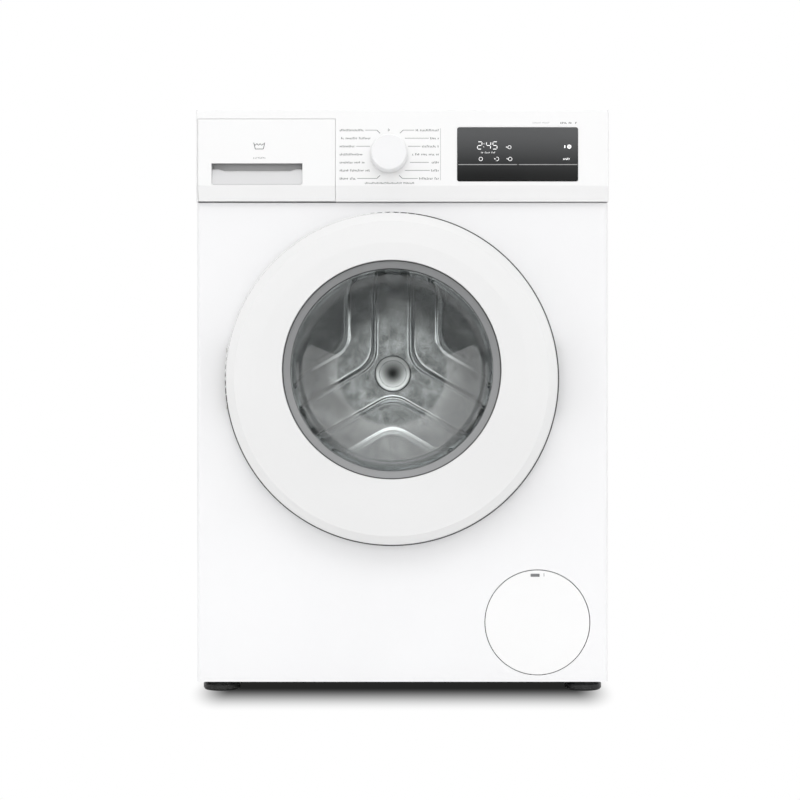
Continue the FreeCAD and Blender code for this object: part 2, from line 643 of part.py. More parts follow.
def service_flap():
    """Round flap with a finger notch at its top and a swan-necked arm that clears the panel's edge."""
    back = FRONT + FLAP_THICK
    disc = turned_y(FLAP_X, FLAP_Z, [(0, FRONT), (FLAP_R, FRONT), (FLAP_R, FRONT + 0.4),
                                     (FLAP_R - 2.3, back), (0, back)])
    notch = block((FLAP_X - 10.3, FLAP_X + 3.7), (FRONT - 1, FRONT + 1.2), (167, 173))
    disc = disc.cut(rounded(notch, 1, 2.5))
    neck = [(-0.5, -2.9), (8, -1.5), (10, 0), (10, 10), (-2.6, 16), (-2.6, 11.5), (6.6, 7.6), (6.6, 2.5), (0, 2.9)]
    outline = [(FLAP_PIVOT_Y + y, FLAP_PIVOT_Z + z) for y, z in neck]
    width = (FLAP_X - FLAP_ARM_HALF, FLAP_X + FLAP_ARM_HALF)
    hub = rod_x(FLAP_PIVOT_Y, FLAP_PIVOT_Z, 3.0, width)
    pin = rod_x(FLAP_PIVOT_Y, FLAP_PIVOT_Z, FLAP_PIN_R, (width[0] - 5.5, width[1] + 5.5))
    return fused([disc, prism_x(outline, width), hub, pin])


# ---- Tub

def tub_inside():
    return rod_y(AXIS_X, AXIS_Z, TUB_R - TUB_WALL, (TUB_FRONT + TUB_WALL, TUB_BACK - TUB_WALL))


def tub_front():
    """Front half of the tub, with its mouth and the two hose necks."""
    y1 = TUB_SPLIT - 0.5
    shell = turned_y(AXIS_X, AXIS_Z, [
        (TUB_MOUTH_R, TUB_FRONT - 13), (TUB_MOUTH_R + 4, TUB_FRONT - 13), (TUB_MOUTH_R + 4, TUB_FRONT),
        (TUB_R - 8, TUB_FRONT), (TUB_R, TUB_FRONT + 8), (TUB_R, y1 - 6), (TUB_FLANGE_R, y1 - 6),
        (TUB_FLANGE_R, y1), (TUB_R - TUB_WALL, y1), (TUB_R - TUB_WALL, TUB_FRONT + TUB_WALL),
        (TUB_MOUTH_R, TUB_FRONT + TUB_WALL)])
    necks = rod_z(HOSE_X, HOSE_Y, 14, (655, 688)).fuse(rod_z(60, -150, 17, (195, 235)))
    shell = shell.fuse(necks.cut(tub_inside()))
    bores = [rod_z(HOSE_X, HOSE_Y, 11, (640, 689)), rod_z(60, -150, 14, (194, 240))]
    return shell.cut(bores).removeSplitter()


def tub_rear():
    """Back half of the tub, with the bearing hub, its ribs and the suspension lugs."""
    y0 = TUB_SPLIT
    shell = turned_y(AXIS_X, AXIS_Z, [
        (TUB_R - TUB_WALL, y0), (TUB_FLANGE_R, y0), (TUB_FLANGE_R, y0 + 6), (TUB_R, y0 + 6),
        (TUB_R, TUB_BACK - 8), (TUB_R - 8, TUB_BACK), (46, TUB_BACK), (42, 190), (31, 190), (31, TUB_BACK),
        (20, TUB_BACK), (20, TUB_BACK - TUB_WALL), (TUB_R - TUB_WALL, TUB_BACK - TUB_WALL)])
    parts = [shell]
    for turn in range(8):
        rib = block((AXIS_X - 2, AXIS_X + 2), (TUB_BACK - 1, TUB_BACK + 16), (AXIS_Z + 44, AXIS_Z + 245))
        rib.rotate(V(AXIS_X, 0, AXIS_Z), V(0, 1, 0), 22.5 + 45 * turn)
        parts.append(rib)
    lugs = []
    for side in (-1, 1):
        spring_x = AXIS_X + side * SPRING_OFFSET
        damper_x = AXIS_X + side * DAMPER_OFFSET
        lugs.append(block((spring_x - 5, spring_x + 5), (20, 40), (620, 658)))
        lugs.append(block((damper_x - 9, damper_x + 9), (20, 40), (244, 275)))
    parts += [lug.cut(tub_inside()) for lug in lugs]
    heater_slot = block((AXIS_X - 37, AXIS_X + 37), (TUB_BACK - 10, TUB_BACK + 4), (215.5, 227))
    return fused(parts).cut(heater_slot)


def front_counterweight():
    """Cast half ring bolted low on the front of the tub."""
    ring = tube_y(AXIS_X, AXIS_Z, 252, 187, (TUB_FRONT - 30, TUB_FRONT))
    angles = [math.radians(a) for a in range(205, 336, 26)]
    wedge = [(AXIS_X, AXIS_Z)] + [(AXIS_X + 320 * math.cos(a), AXIS_Z + 320 * math.sin(a)) for a in angles]
    return ring.common(prism_y(wedge, (-300, 0)))


def top_counterweight():
    """Cast block that saddles the top of the tub."""
    cast = block((-85, 145), (-150, 60), (690, 775))
    cast = rounded(cast, 2, 12.0)
    return cast.cut(rod_y(AXIS_X, AXIS_Z, TUB_FLANGE_R + 0.3, (-200, 100)))


def heater():
    """Hairpin heating element in the bottom of the tub, with its terminal plate outside."""
    z = 221.0
    legs = [rod_y(AXIS_X + side * 29, z, 4.0, (-6, TUB_BACK + 1)) for side in (-1, 1)]
    bend = rod_x(-6, z, 4.0, (AXIS_X - 29, AXIS_X + 29))
    caps = [Part.makeSphere(4.0, V(AXIS_X + side * 29, -6, z)) for side in (-1, 1)]
    plate = block((AXIS_X - 40, AXIS_X + 40), (TUB_BACK + 0.1, TUB_BACK + 6), (212, 231))
    pins = [rod_y(AXIS_X + side * 29, z, 2.5, (TUB_BACK + 5, TUB_BACK + 18)) for side in (-1, 1)]
    return fused(legs + [bend, plate] + caps + pins)


def bearings():
    rings = []
    for y in ((137, 152), (172, 187)):
        rings.append(tube_y(AXIS_X, AXIS_Z, 30.98, SHAFT_R + RUN, y))
    return rings


def motor_housing():
    """Motor body under the tub, with two lugs up to it."""
    can = rod_y(AXIS_X, MOTOR_Z, MOTOR_R, (60, 200))
    lugs = [block((AXIS_X + s * 22 - 5, AXIS_X + s * 22 + 5), (80, 180), (180, 206.4)) for s in (-1, 1)]
    body = fused([can] + lugs)
    body = body.cut(rod_y(AXIS_X, MOTOR_Z, MOTOR_R - 7, (68, 194)))
    return body.cut(rod_y(AXIS_X, MOTOR_Z, MOTOR_SHAFT_R + RUN, (190, 201)))


def motor_rotor():
    """Rotor, shaft and the small belt pulley, which turn as one."""
    core = rod_y(AXIS_X, MOTOR_Z, 32, (82, 182))
    shaft = rod_y(AXIS_X, MOTOR_Z, MOTOR_SHAFT_R, (72, 244))
    pulley = rod_y(AXIS_X, MOTOR_Z, MOTOR_PULLEY_R, PULLEY_Y)
    flange = rod_y(AXIS_X, MOTOR_Z, MOTOR_PULLEY_R + 4, (PULLEY_Y[0], PULLEY_Y[0] + 2.5))
    return fused([core, shaft, pulley, flange])


def belt_loop(big, small):
    """Outline of an open belt round two circles: two arcs joined by their outer tangents."""
    centre_gap = AXIS_Z - MOTOR_Z
    lean = math.asin((big - small) / centre_gap)
    right = V(math.cos(lean), 0, -math.sin(lean))
    left = V(-math.cos(lean), 0, -math.sin(lean))
    top = V(AXIS_X, BELT_Y[0], AXIS_Z)
    low = V(AXIS_X, BELT_Y[0], MOTOR_Z)
    edges = [Part.Arc(top + left * big, top + V(0, 0, big), top + right * big).toShape(),
             Part.LineSegment(top + right * big, low + right * small).toShape(),
             Part.Arc(low + right * small, low - V(0, 0, small), low + left * small).toShape(),
             Part.LineSegment(low + left * small, top + left * big).toShape()]
    return Part.Face(Part.Wire(edges))


def drive_belt():
    width = V(0, BELT_Y[1] - BELT_Y[0], 0)
    outer = belt_loop(DRUM_PULLEY_R + BELT_GAP + BELT_THICK, MOTOR_PULLEY_R + BELT_GAP + BELT_THICK)
    inner = belt_loop(DRUM_PULLEY_R + BELT_GAP, MOTOR_PULLEY_R + BELT_GAP)
    return outer.extrude(width).cut(inner.extrude(width))


def damper_tubes():
    tubes = []
    for side in (-1, 1):
        x = AXIS_X + side * DAMPER_OFFSET
        foot_block = block((x - 14, x + 14), (SUSPENSION_Y - 11, SUSPENSION_Y + 11), (CABINET_BOTTOM + 3, 62))
        tube = rod_z(x, SUSPENSION_Y, 13, (60, 170))
        bore = rod_z(x, SUSPENSION_Y, DAMPER_ROD_R + RUN, (66, 171))
        tubes.append(fused([foot_block, tube]).cut(bore))
    return tubes


def damper_rods():
    rods = []
    for side in (-1, 1):
        x = AXIS_X + side * DAMPER_OFFSET
        rod = rod_z(x, SUSPENSION_Y, DAMPER_ROD_R, (82, 236))
        eye = block((x - 8, x + 8), (SUSPENSION_Y - 8, SUSPENSION_Y + 8), (232, 243.9))
        rods.append(fused([rod, eye]))
    return rods


def suspension_springs():
    return [tube_z(AXIS_X + side * SPRING_OFFSET, SUSPENSION_Y, 12, 9, (658.3, 799.7)) for side in (-1, 1)]


def door_gasket():
    """Rubber bellows between the porthole rim and the mouth of the tub."""
    return turned_y(AXIS_X, AXIS_Z, [
        (171.5, -270), (166.5, -270), (164.5, -266), (165, -256), (167, -240), (169, -228), (167, -206),
        (177.6, -206), (177.6, -217), (173, -226), (171.5, -240)])


def sump_hose():
    points = [V(60, -150, 194.7), V(60, -150, PUMP_Z), V(139.7, -150, PUMP_Z)]
    return bent_pipe(points, [45.0], 16.0)


def dispenser_hose():
    return rod_z(HOSE_X, HOSE_Y, 15.5, (688.3, 714.7))


# ---- Drum

def drum_shell():
    return tube_y(AXIS_X, AXIS_Z, DRUM_R, DRUM_R - DRUM_SHEET, (DRUM_FRONT, DRUM_BACK))


def drum_front_ring():
    """Coned front of the drum with a rolled mouth."""
    return turned_y(AXIS_X, AXIS_Z, [
        (DRUM_R, DRUM_FRONT - 0.1), (DRUM_R, DRUM_FRONT - 1.6), (181, -195), (175, -194), (DRUM_MOUTH_R, -189),
        (DRUM_MOUTH_R + 1.4, -188.6), (175.8, -192.6), (181, -193.5), (DRUM_R - 2, DRUM_FRONT - 0.1)])


def drum_rear_panel():
    """Back of the drum with three pressed arms and a raised hub."""
    disc = rod_y(AXIS_X, AXIS_Z, DRUM_R - DRUM_SHEET, (DRUM_BACK, DRUM_BACK + 2))
    disc = disc.fuse(rod_y(AXIS_X, AXIS_Z, 42, (DRUM_BACK - 10, DRUM_BACK + 1)))
    arm = block((AXIS_X - 27, AXIS_X + 27), (DRUM_BACK - 6, DRUM_BACK + 1), (AXIS_Z + 20, AXIS_Z + 195))
    return fused([disc] + three_round_axis(arm))


def drum_paddles():
    """Three lifters on the inside of the shell."""
    wide, narrow, low, high = 38.0, 13.0, 232.0, 193.0
    outline = [(AXIS_X - wide, AXIS_Z + low), (AXIS_X - narrow, AXIS_Z + high),
               (AXIS_X + narrow, AXIS_Z + high), (AXIS_X + wide, AXIS_Z + low)]
    return three_round_axis(prism_y(outline, (DRUM_FRONT + 18, DRUM_BACK - 12)))


def drum_spider():
    """Three-armed cross with the drum shaft."""
    arm = block((AXIS_X - 18, AXIS_X + 18), (DRUM_BACK + 3, DRUM_BACK + 16), (AXIS_Z, AXIS_Z + 228))
    hub = rod_y(AXIS_X, AXIS_Z, 45, (DRUM_BACK + 3, DRUM_BACK + 19))
    shaft = rod_y(AXIS_X, AXIS_Z, SHAFT_R, (DRUM_BACK + 10, 242))
    return fused([hub, shaft] + three_round_axis(arm))


def drum_pulley():
    """Belt wheel with six openings in its web."""
    y0, y1 = PULLEY_Y
    wheel = turned_y(AXIS_X, AXIS_Z, [
        (SHAFT_R, y0 - 2), (26, y0 - 2), (26, y0 + 7), (124, y0 + 7), (124, y0), (DRUM_PULLEY_R, y0),
        (DRUM_PULLEY_R, y1), (124, y1), (124, y0 + 11), (26, y0 + 11), (26, y1 + 4), (SHAFT_R, y1 + 4)])
    holes = []
    for turn in range(6):
        angle = math.radians(60 * turn + 30)
        holes.append(rod_y(AXIS_X + 76 * math.cos(angle), AXIS_Z + 76 * math.sin(angle), 30, (y0, y1)))
    return wheel.cut(holes)


def build():
    right_side = side_panel()
    feet = dict(zip(("foot_front_left", "foot_front_right", "foot_rear_left", "foot_rear_right"),
                    (foot(x, y) for x, y in foot_places())))
    pieces = {
        "side_panel_left": mirrored(right_side),
        "side_panel_right": right_side,
        "front_panel": front_panel(),
        "rear_panel": rear_panel(),
        "rear_service_cover": rear_service_cover(),
        "worktop": worktop(),
        "base_tray": base_tray(),
        "top_crossbars": top_crossbars(),
        "foot_nuts": foot_nuts(),
        "control_fascia": control_fascia(),
        "display_window": display_window(),
        "power_module": power_module(),
        "selector_switch": selector_switch(),
        "dispenser_housing": dispenser_housing(),
        "inlet_valve": inlet_valve(),
        "pump_housing": pump_housing(),
        "drain_pipe": drain_pipe(),
        "door_lock": door_lock(),
        "hinge_bracket": hinge_bracket(),
        "hinge_pin": hinge_pin(),
        "damper_tubes": damper_tubes(),
        "transit_bolt_caps": transit_bolt_caps(),
        "mains_gland": mains_gland(),
        "cabinet_screws": cabinet_screws(),
        "tub_front": tub_front(),
        "tub_rear": tub_rear(),
        "front_counterweight": front_counterweight(),
        "top_counterweight": top_counterweight(),
        "heater": heater(),
        "bearings": bearings(),
        "motor_housing": motor_housing(),
        "drive_belt": drive_belt(),
        "damper_rods": damper_rods(),
        "door_gasket": door_gasket(),
        "suspension_springs": suspension_springs(),
        "sump_hose": sump_hose(),
        "dispenser_hose": dispenser_hose(),
        "drum_shell": drum_shell(),
        "drum_front_ring": drum_front_ring(),
        "drum_rear_panel": drum_rear_panel(),
        "drum_paddles": drum_paddles(),
        "drum_spider": drum_spider(),
        "drum_pulley": drum_pulley(),
        "motor_rotor": motor_rotor(),
        "door_outer_ring": door_outer_ring(),
        "door_inner_frame": door_inner_frame(),
        "door_glass": door_glass(),
        "door_hinge_arm": door_hinge_arm(),
        "door_hook": door_hook(),
        "drawer_front": drawer_front(),
        "drawer_tray": drawer_tray(),
        "siphon_cap": siphon_cap(),
        "program_knob": program_knob(),
        "service_flap": service_flap(),
        "pump_filter": pump_filter(),
        "pump_impeller": pump_impeller(),
    }
    pieces.update(feet)
    os.makedirs("parts", exist_ok=True)
    for name, shape in pieces.items():
        if isinstance(shape, list):
            shape = Part.makeCompound(shape)
        solids = len(shape.Solids)
        print(name, "solids", solids, "valid", shape.isValid(), "volume", round(shape.Volume / 1000, 1), "cm3")
        shape.exportStep("parts/" + name + ".step")
    print(len(pieces), "nodes")


build()
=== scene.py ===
import math
import bmesh
import bpy
import numpy as np
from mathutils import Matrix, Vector


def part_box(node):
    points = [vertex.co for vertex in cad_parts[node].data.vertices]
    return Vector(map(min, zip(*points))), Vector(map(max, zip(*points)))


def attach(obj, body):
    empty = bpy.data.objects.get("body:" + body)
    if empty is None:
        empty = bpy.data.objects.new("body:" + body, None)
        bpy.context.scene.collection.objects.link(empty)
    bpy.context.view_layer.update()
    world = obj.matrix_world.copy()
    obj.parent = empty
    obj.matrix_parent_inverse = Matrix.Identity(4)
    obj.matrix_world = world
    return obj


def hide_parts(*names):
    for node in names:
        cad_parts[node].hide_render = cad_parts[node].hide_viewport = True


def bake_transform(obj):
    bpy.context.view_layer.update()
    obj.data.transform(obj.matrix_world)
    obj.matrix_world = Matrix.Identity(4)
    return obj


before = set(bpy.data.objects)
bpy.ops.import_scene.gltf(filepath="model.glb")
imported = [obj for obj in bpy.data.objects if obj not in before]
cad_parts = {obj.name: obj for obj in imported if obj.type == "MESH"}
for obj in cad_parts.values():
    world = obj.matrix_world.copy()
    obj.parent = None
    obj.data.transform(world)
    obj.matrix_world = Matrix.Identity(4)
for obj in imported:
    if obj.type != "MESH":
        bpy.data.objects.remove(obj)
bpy.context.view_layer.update()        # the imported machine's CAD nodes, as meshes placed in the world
print("frame loaded")

millimetre = 0.001


def middle(node):        # centre of a CAD node's box, metres
    low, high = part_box(node)
    return (low + high) / 2


def meshPiece(name, points, faces, slot, body=None, replaces=(), smooth=True, finish=None):
    # a mesh at the origin from arrays of corners (n, 3) and faces (m, 3 or 4), finished and fixed to its
    # body; finish is given where the piece differs from the finish of its slot
    points = np.ascontiguousarray(points, dtype=np.float32)
    faces = np.ascontiguousarray(faces, dtype=np.int32)
    sides = faces.shape[1]
    mesh = bpy.data.meshes.new(name)
    mesh.vertices.add(len(points))
    mesh.vertices.foreach_set("co", points.ravel())
    mesh.loops.add(faces.size)
    mesh.loops.foreach_set("vertex_index", faces.ravel())
    mesh.polygons.add(len(faces))
    mesh.polygons.foreach_set("loop_start", np.arange(len(faces), dtype=np.int32) * sides)
    mesh.polygons.foreach_set("use_smooth", np.full(len(faces), smooth))
    mesh.update(calc_edges=True)
    mesh.validate()
    piece = bpy.data.objects.new(name, mesh)
    bpy.context.scene.collection.objects.link(piece)
    mesh.materials.append(finish or finishes[slot])
    if body:
        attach(piece, body)
    if replaces:
        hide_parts(*replaces)
    return piece


def gridFaces(rows, columns, closeRows=False, closeColumns=False):
    # quads between neighbouring points of a grid whose points are numbered row by row
    row = np.arange(rows if closeRows else rows - 1)[:, None]
    column = np.arange(columns if closeColumns else columns - 1)[None, :]
    nextRow, nextColumn = (row + 1) % rows, (column + 1) % columns
    corners = [row * columns + column, row * columns + nextColumn,
               nextRow * columns + nextColumn, nextRow * columns + column]
    return np.stack(np.broadcast_arrays(*corners), -1).reshape(-1, 4)


def curvedCorners(corners, before, after, radius, steps):
    # each corner replaced by a quadratic curve (1 - t)^2 start + 2 t (1 - t) corner + t^2 end, which starts
    # and ends `radius` from the corner, or at 0.45 of the shorter side
    back, ahead = before - corners, after - corners
    backLength, aheadLength = (np.linalg.norm(side, axis=1)[:, None] for side in (back, ahead))
    reach = np.minimum(radius, 0.45 * np.minimum(backLength, aheadLength))
    start, end = corners + back / backLength * reach, corners + ahead / aheadLength * reach
    t = np.linspace(0, 1, steps)[None, :, None]
    curve = start[:, None] * (1 - t) ** 2 + corners[:, None] * 2 * t * (1 - t) + end[:, None] * t ** 2
    return curve.reshape(-1, 2)


def roundedProfile(corners, radius, steps=5):        # a closed outline with every corner rounded
    corners = np.asarray(corners, float)
    return curvedCorners(corners, np.roll(corners, 1, axis=0), np.roll(corners, -1, axis=0), radius, steps)


def openProfile(corners, radius, steps=6):        # an open outline with its inner corners rounded
    corners = np.asarray(corners, float)
    curve = curvedCorners(corners[1:-1], corners[:-2], corners[2:], radius, steps)
    return np.concatenate([corners[:1], curve, corners[-1:]])


def turnedSolid(profile, centreX, centreZ, count=160):
    # a closed outline of (radius, y) carried round an axis along Y: x = cx + r sin a, z = cz + r cos a
    angle = np.linspace(0, 2 * np.pi, count, endpoint=False)[:, None]
    radius, y = profile[None, :, 0], profile[None, :, 1]
    points = np.stack(np.broadcast_arrays(centreX + radius * np.sin(angle), y,
                                          centreZ + radius * np.cos(angle)), -1)
    return points.reshape(-1, 3), gridFaces(count, len(profile), True, True)


def facedOutwards(piece, merge=1e-6, cap=False):
    # doubles merged, open ends capped if asked, then every face turned to point out of the closed piece
    work = bmesh.new()
    work.from_mesh(piece.data)
    bmesh.ops.remove_doubles(work, verts=work.verts, dist=merge)
    if cap:
        bmesh.ops.holes_fill(work, edges=[edge for edge in work.edges if edge.is_boundary], sides=0)
    bmesh.ops.recalc_face_normals(work, faces=work.faces)
    work.to_mesh(piece.data)
    work.free()
    return piece


def thickened(piece, thickness, offset=-1.0):        # a sheet given its thickness in mm
    sheet = piece.modifiers.new("sheet", "SOLIDIFY")
    sheet.thickness, sheet.offset = thickness * millimetre, offset
    return piece


def carriedTube(path, radius, sides=12, across=None):
    # a circle of changing radius carried along a path: point = path + radius (cos b * n + sin b * m),
    # where n is the path's tangent turned square to `across`, and m is n crossed with the tangent
    path = np.asarray(path, float)
    tangent = np.gradient(path, axis=0)
    tangent /= np.linalg.norm(tangent, axis=1)[:, None]
    side = np.broadcast_to(across, path.shape)
    first = np.cross(tangent, side)
    first /= np.linalg.norm(first, axis=1)[:, None]
    second = np.cross(first, tangent)
    angle = np.linspace(0, 2 * np.pi, sides, endpoint=False)[None, :, None]
    reach = np.broadcast_to(radius, len(path))[:, None, None]
    points = path[:, None] + reach * (np.cos(angle) * first[:, None] + np.sin(angle) * second[:, None])
    return points.reshape(-1, 3), gridFaces(len(path), sides, False, True)


def joinedParts(parts):
    # several (points, faces) pairs as one, the faces renumbered
    starts = np.cumsum([0] + [len(points) for points, _ in parts[:-1]])
    return (np.concatenate([points for points, _ in parts]),
            np.concatenate([faces + start for (_, faces), start in zip(parts, starts)]))


boxFaces = np.array([[0, 1, 2, 3], [7, 6, 5, 4], [0, 4, 5, 1], [1, 5, 6, 2], [2, 6, 7, 3], [3, 7, 4, 0]])


def flatBars(bars, front, thickness):
    # thin flat bars in the XZ plane, each from (x0, z0) to (x1, z1) with a width:
    # corner = end +- half width * normal
    bars = np.asarray(bars, float) * millimetre
    start, end, half = bars[:, 0:2], bars[:, 2:4], bars[:, 4:5] / 2
    along = (end - start) / np.linalg.norm(end - start, axis=1)[:, None]
    normal = np.stack([-along[:, 1], along[:, 0]], 1) * half
    outline = np.stack([start - normal, end - normal, end + normal, start + normal], 1)
    face = lambda y: np.stack([outline[:, :, 0], np.full(outline.shape[:2], y), outline[:, :, 1]], -1)
    points = np.concatenate([face(front), face(front + thickness)], 1)
    faces = boxFaces[None] + 8 * np.arange(len(bars))[:, None, None]
    return points.reshape(-1, 3), faces.reshape(-1, 4)


printThickness = 0.1        # mm; printed bars are sunk by half of it


def flatBarPiece(name, bars, face, ink, body="cabinet", slot="front_plastic"):
    # thin bars on a surface whose y is `face`: print, and the painted shade on the flap notch's floor
    thickness = printThickness * millimetre
    points, faces = flatBars(np.vstack(bars), face - thickness / 2, thickness)
    return meshPiece(name, points, faces, slot, body, smooth=False, finish=ink)


def arcBars(centreX, centreZ, radius, start, end, width, steps=18):
    # an arc as short bars: ends at angles start to end, in degrees anticlockwise from +X
    angle = np.radians(np.linspace(start, end, steps + 1))
    x, z = centreX + radius * np.cos(angle), centreZ + radius * np.sin(angle)
    return np.stack([x[:-1], z[:-1], x[1:], z[1:], np.full(steps, width)], 1)


def paint(red, green=None, blue=None):
    # a screen colour of 0 to 255 as the linear colour that shaders use
    screen = np.array([red, red if green is None else green, red if blue is None else blue]) / 255
    linear = np.where(screen <= 0.04045, screen / 12.92, ((screen + 0.055) / 1.055) ** 2.4)
    return (*linear.tolist(), 1.0)


def addNode(tree, kind, inputs=None, **options):
    # one shader node; its inputs are numbers, colours or other nodes' outputs
    node = tree.nodes.new("ShaderNode" + kind)
    for key, value in options.items():
        setattr(node, key, value)
    for key, value in (inputs or {}).items():
        if isinstance(value, bpy.types.NodeSocket):
            tree.links.new(value, node.inputs[key])
        else:
            node.inputs[key].default_value = value
    return node


def reckon(tree, operation, first, second=0.0):        # a math node's result
    return addNode(tree, "Math", {0: first, 1: second}, operation=operation).outputs[0]


def shaderGroup(name, inputs, outputs):
    # an empty group with named sockets, and its entry and exit nodes
    tree = bpy.data.node_groups.new(name, "ShaderNodeTree")
    for label, start in inputs.items():
        isPoint = not np.isscalar(start)
        socket = tree.interface.new_socket(label, in_out="INPUT",
                                           socket_type="NodeSocketVector" if isPoint else "NodeSocketFloat")
        socket.default_value = start
    for label in outputs:
        tree.interface.new_socket(label, in_out="OUTPUT", socket_type="NodeSocketFloat")
    return tree, tree.nodes.new("NodeGroupInput"), tree.nodes.new("NodeGroupOutput")


def placeGroup(tree, group, **inputs):
    node = tree.nodes.new("ShaderNodeGroup")
    node.node_tree = group
    for key, value in inputs.items():
        node.inputs[key].default_value = value
    return node


def grainEffect():
    # fine skin of moulded plastic and sprayed enamel: two sizes of noise, and a slow drift of tone
    tree, entry, leave = shaderGroup("surfaceGrain", {"Scale": 900.0, "Drift": 6.0}, ["Height", "Tone"])
    place = addNode(tree, "TexCoord").outputs["Object"]
    fine = addNode(tree, "TexNoise", {"Vector": place, "Scale": entry.outputs["Scale"], "Detail": 2.0})
    wider = reckon(tree, "MULTIPLY", entry.outputs["Scale"], 0.3)
    broad = addNode(tree, "TexNoise", {"Vector": place, "Scale": wider, "Detail": 1.0})
    drift = addNode(tree, "TexNoise", {"Vector": place, "Scale": entry.outputs["Drift"], "Detail": 3.0})
    height = reckon(tree, "ADD", fine.outputs["Fac"], broad.outputs["Fac"])
    tree.links.new(height, leave.inputs["Height"])
    tree.links.new(drift.outputs["Fac"], leave.inputs["Tone"])
    return tree


def edgeEffect():
    # worn edges: how far the rounded normal leans from the face's own, broken up by noise
    tree, entry, leave = shaderGroup("edgeWear", {"Radius": 0.0015, "Breaks": 140.0}, ["Mask"])
    rounded = addNode(tree, "Bevel", {"Radius": entry.outputs["Radius"]}, samples=4).outputs["Normal"]
    faced = addNode(tree, "NewGeometry").outputs["Normal"]
    lean = addNode(tree, "VectorMath", {0: rounded, 1: faced}, operation="DOT_PRODUCT").outputs["Value"]
    noise = addNode(tree, "TexNoise", {"Vector": addNode(tree, "TexCoord").outputs["Object"],
                                       "Scale": entry.outputs["Breaks"], "Detail": 4.0}).outputs["Fac"]
    edge = addNode(tree, "MapRange", {"Value": lean, "From Min": 0.995, "From Max": 0.85}).outputs["Result"]
    tree.links.new(reckon(tree, "MULTIPLY", edge, noise), leave.inputs["Mask"])
    return tree


def brushedEffect():
    # brushed metal: noise drawn out along one direction, in two widths, and soft stains
    tree, entry, leave = shaderGroup("brushedStreaks", {"Stretch": (40.0, 900.0, 900.0)},
                                     ["Height", "Tone", "Stain"])
    place = addNode(tree, "TexCoord").outputs["Object"]
    drawn = addNode(tree, "VectorMath", {0: place, 1: entry.outputs["Stretch"]},
                    operation="MULTIPLY").outputs[0]
    fine = addNode(tree, "TexNoise", {"Vector": drawn, "Scale": 1.0, "Detail": 3.0}).outputs["Fac"]
    wide = addNode(tree, "TexNoise", {"Vector": drawn, "Scale": 0.18, "Detail": 2.0}).outputs["Fac"]
    stain = addNode(tree, "TexNoise", {"Vector": place, "Scale": 11.0, "Detail": 3.0}).outputs["Fac"]
    tree.links.new(fine, leave.inputs["Height"])
    tree.links.new(wide, leave.inputs["Tone"])
    tree.links.new(stain, leave.inputs["Stain"])
    return tree


def poresEffect():
    # cast stone and cast metal: lumps with sharp pits between them
    tree, entry, leave = shaderGroup("castPores", {"Scale": 220.0}, ["Height", "Tone"])
    place = addNode(tree, "TexCoord").outputs["Object"]
    pits = addNode(tree, "TexVoronoi", {"Vector": place, "Scale": entry.outputs["Scale"]}).outputs["Distance"]
    lumps = addNode(tree, "TexNoise", {"Vector": place, "Scale": 60.0, "Detail": 6.0}).outputs["Fac"]
    tree.links.new(reckon(tree, "ADD", reckon(tree, "MINIMUM", pits, 0.4), lumps), leave.inputs["Height"])
    tree.links.new(lumps, leave.inputs["Tone"])
    return tree


effects = {"grain": grainEffect(), "edge": edgeEffect(), "brushed": brushedEffect(), "pores": poresEffect()}


def newMaterial(name):
    material = bpy.data.materials.new(name)
    material.use_nodes = True
    tree = material.node_tree
    return material, tree, tree.nodes["Principled BSDF"]


def tonedColour(tree, colour, tone, amount):
    # the colour made darker or lighter by a mask that runs round 0.5: colour * (1 + amount (mask - 0.5))
    factor = addNode(tree, "MapRange", {"Value": tone, "From Min": 0.25, "From Max": 0.75,
                                        "To Min": 1 - amount / 2, "To Max": 1 + amount / 2}).outputs["Result"]
    return addNode(tree, "VectorMath", {0: colour[:3], "Scale": factor}, operation="SCALE").outputs[0]


def mixedColour(tree, mask, first, second):
    node = addNode(tree, "Mix", {0: mask}, data_type="RGBA")
    for place, value in ((6, first), (7, second)):
        if isinstance(value, bpy.types.NodeSocket):
            tree.links.new(value, node.inputs[place])
        else:
            node.inputs[place].default_value = value
    return node.outputs[2]


def roughened(tree, shader, mask, least, most, start=0.0, end=1.0):
    # roughness from least to most while the mask runs from start to end
    rough = addNode(tree, "MapRange", {"Value": mask, "From Min": start, "From Max": end,
                                       "To Min": least, "To Max": most}).outputs["Result"]
    tree.links.new(rough, shader.inputs["Roughness"])


def bumped(tree, shader, height, strength, depth):        # relief from a height mask, depth in mm
    bump = addNode(tree, "Bump", {"Height": height, "Strength": strength, "Distance": depth * millimetre})
    tree.links.new(bump.outputs["Normal"], shader.inputs["Normal"])


def shellFinish(name, colour, roughness, grain=900.0, depth=0.02, tone=0.04, edge=0.0, edgeColour=None,
                coat=0.0, metallic=0.0, effect="grain"):
    # moulded, sprayed or cast skin: toned colour, worn edges, grain in bump and roughness
    material, tree, shader = newMaterial(name)
    skin = placeGroup(tree, effects[effect], Scale=grain)
    base = tonedColour(tree, colour, skin.outputs["Tone"], tone)
    if edge:
        worn = placeGroup(tree, effects["edge"])
        mask = reckon(tree, "MULTIPLY", worn.outputs["Mask"], edge)
        base = mixedColour(tree, mask, base, edgeColour or paint(200))
    tree.links.new(base, shader.inputs["Base Color"])
    roughened(tree, shader, skin.outputs["Tone"], roughness * 0.88, roughness * 1.12, 0.3, 0.7)
    bumped(tree, shader, skin.outputs["Height"], 0.5, depth)
    shader.inputs["Metallic"].default_value = metallic
    shader.inputs["Coat Weight"].default_value = coat
    shader.inputs["Coat Roughness"].default_value = 0.08
    return material


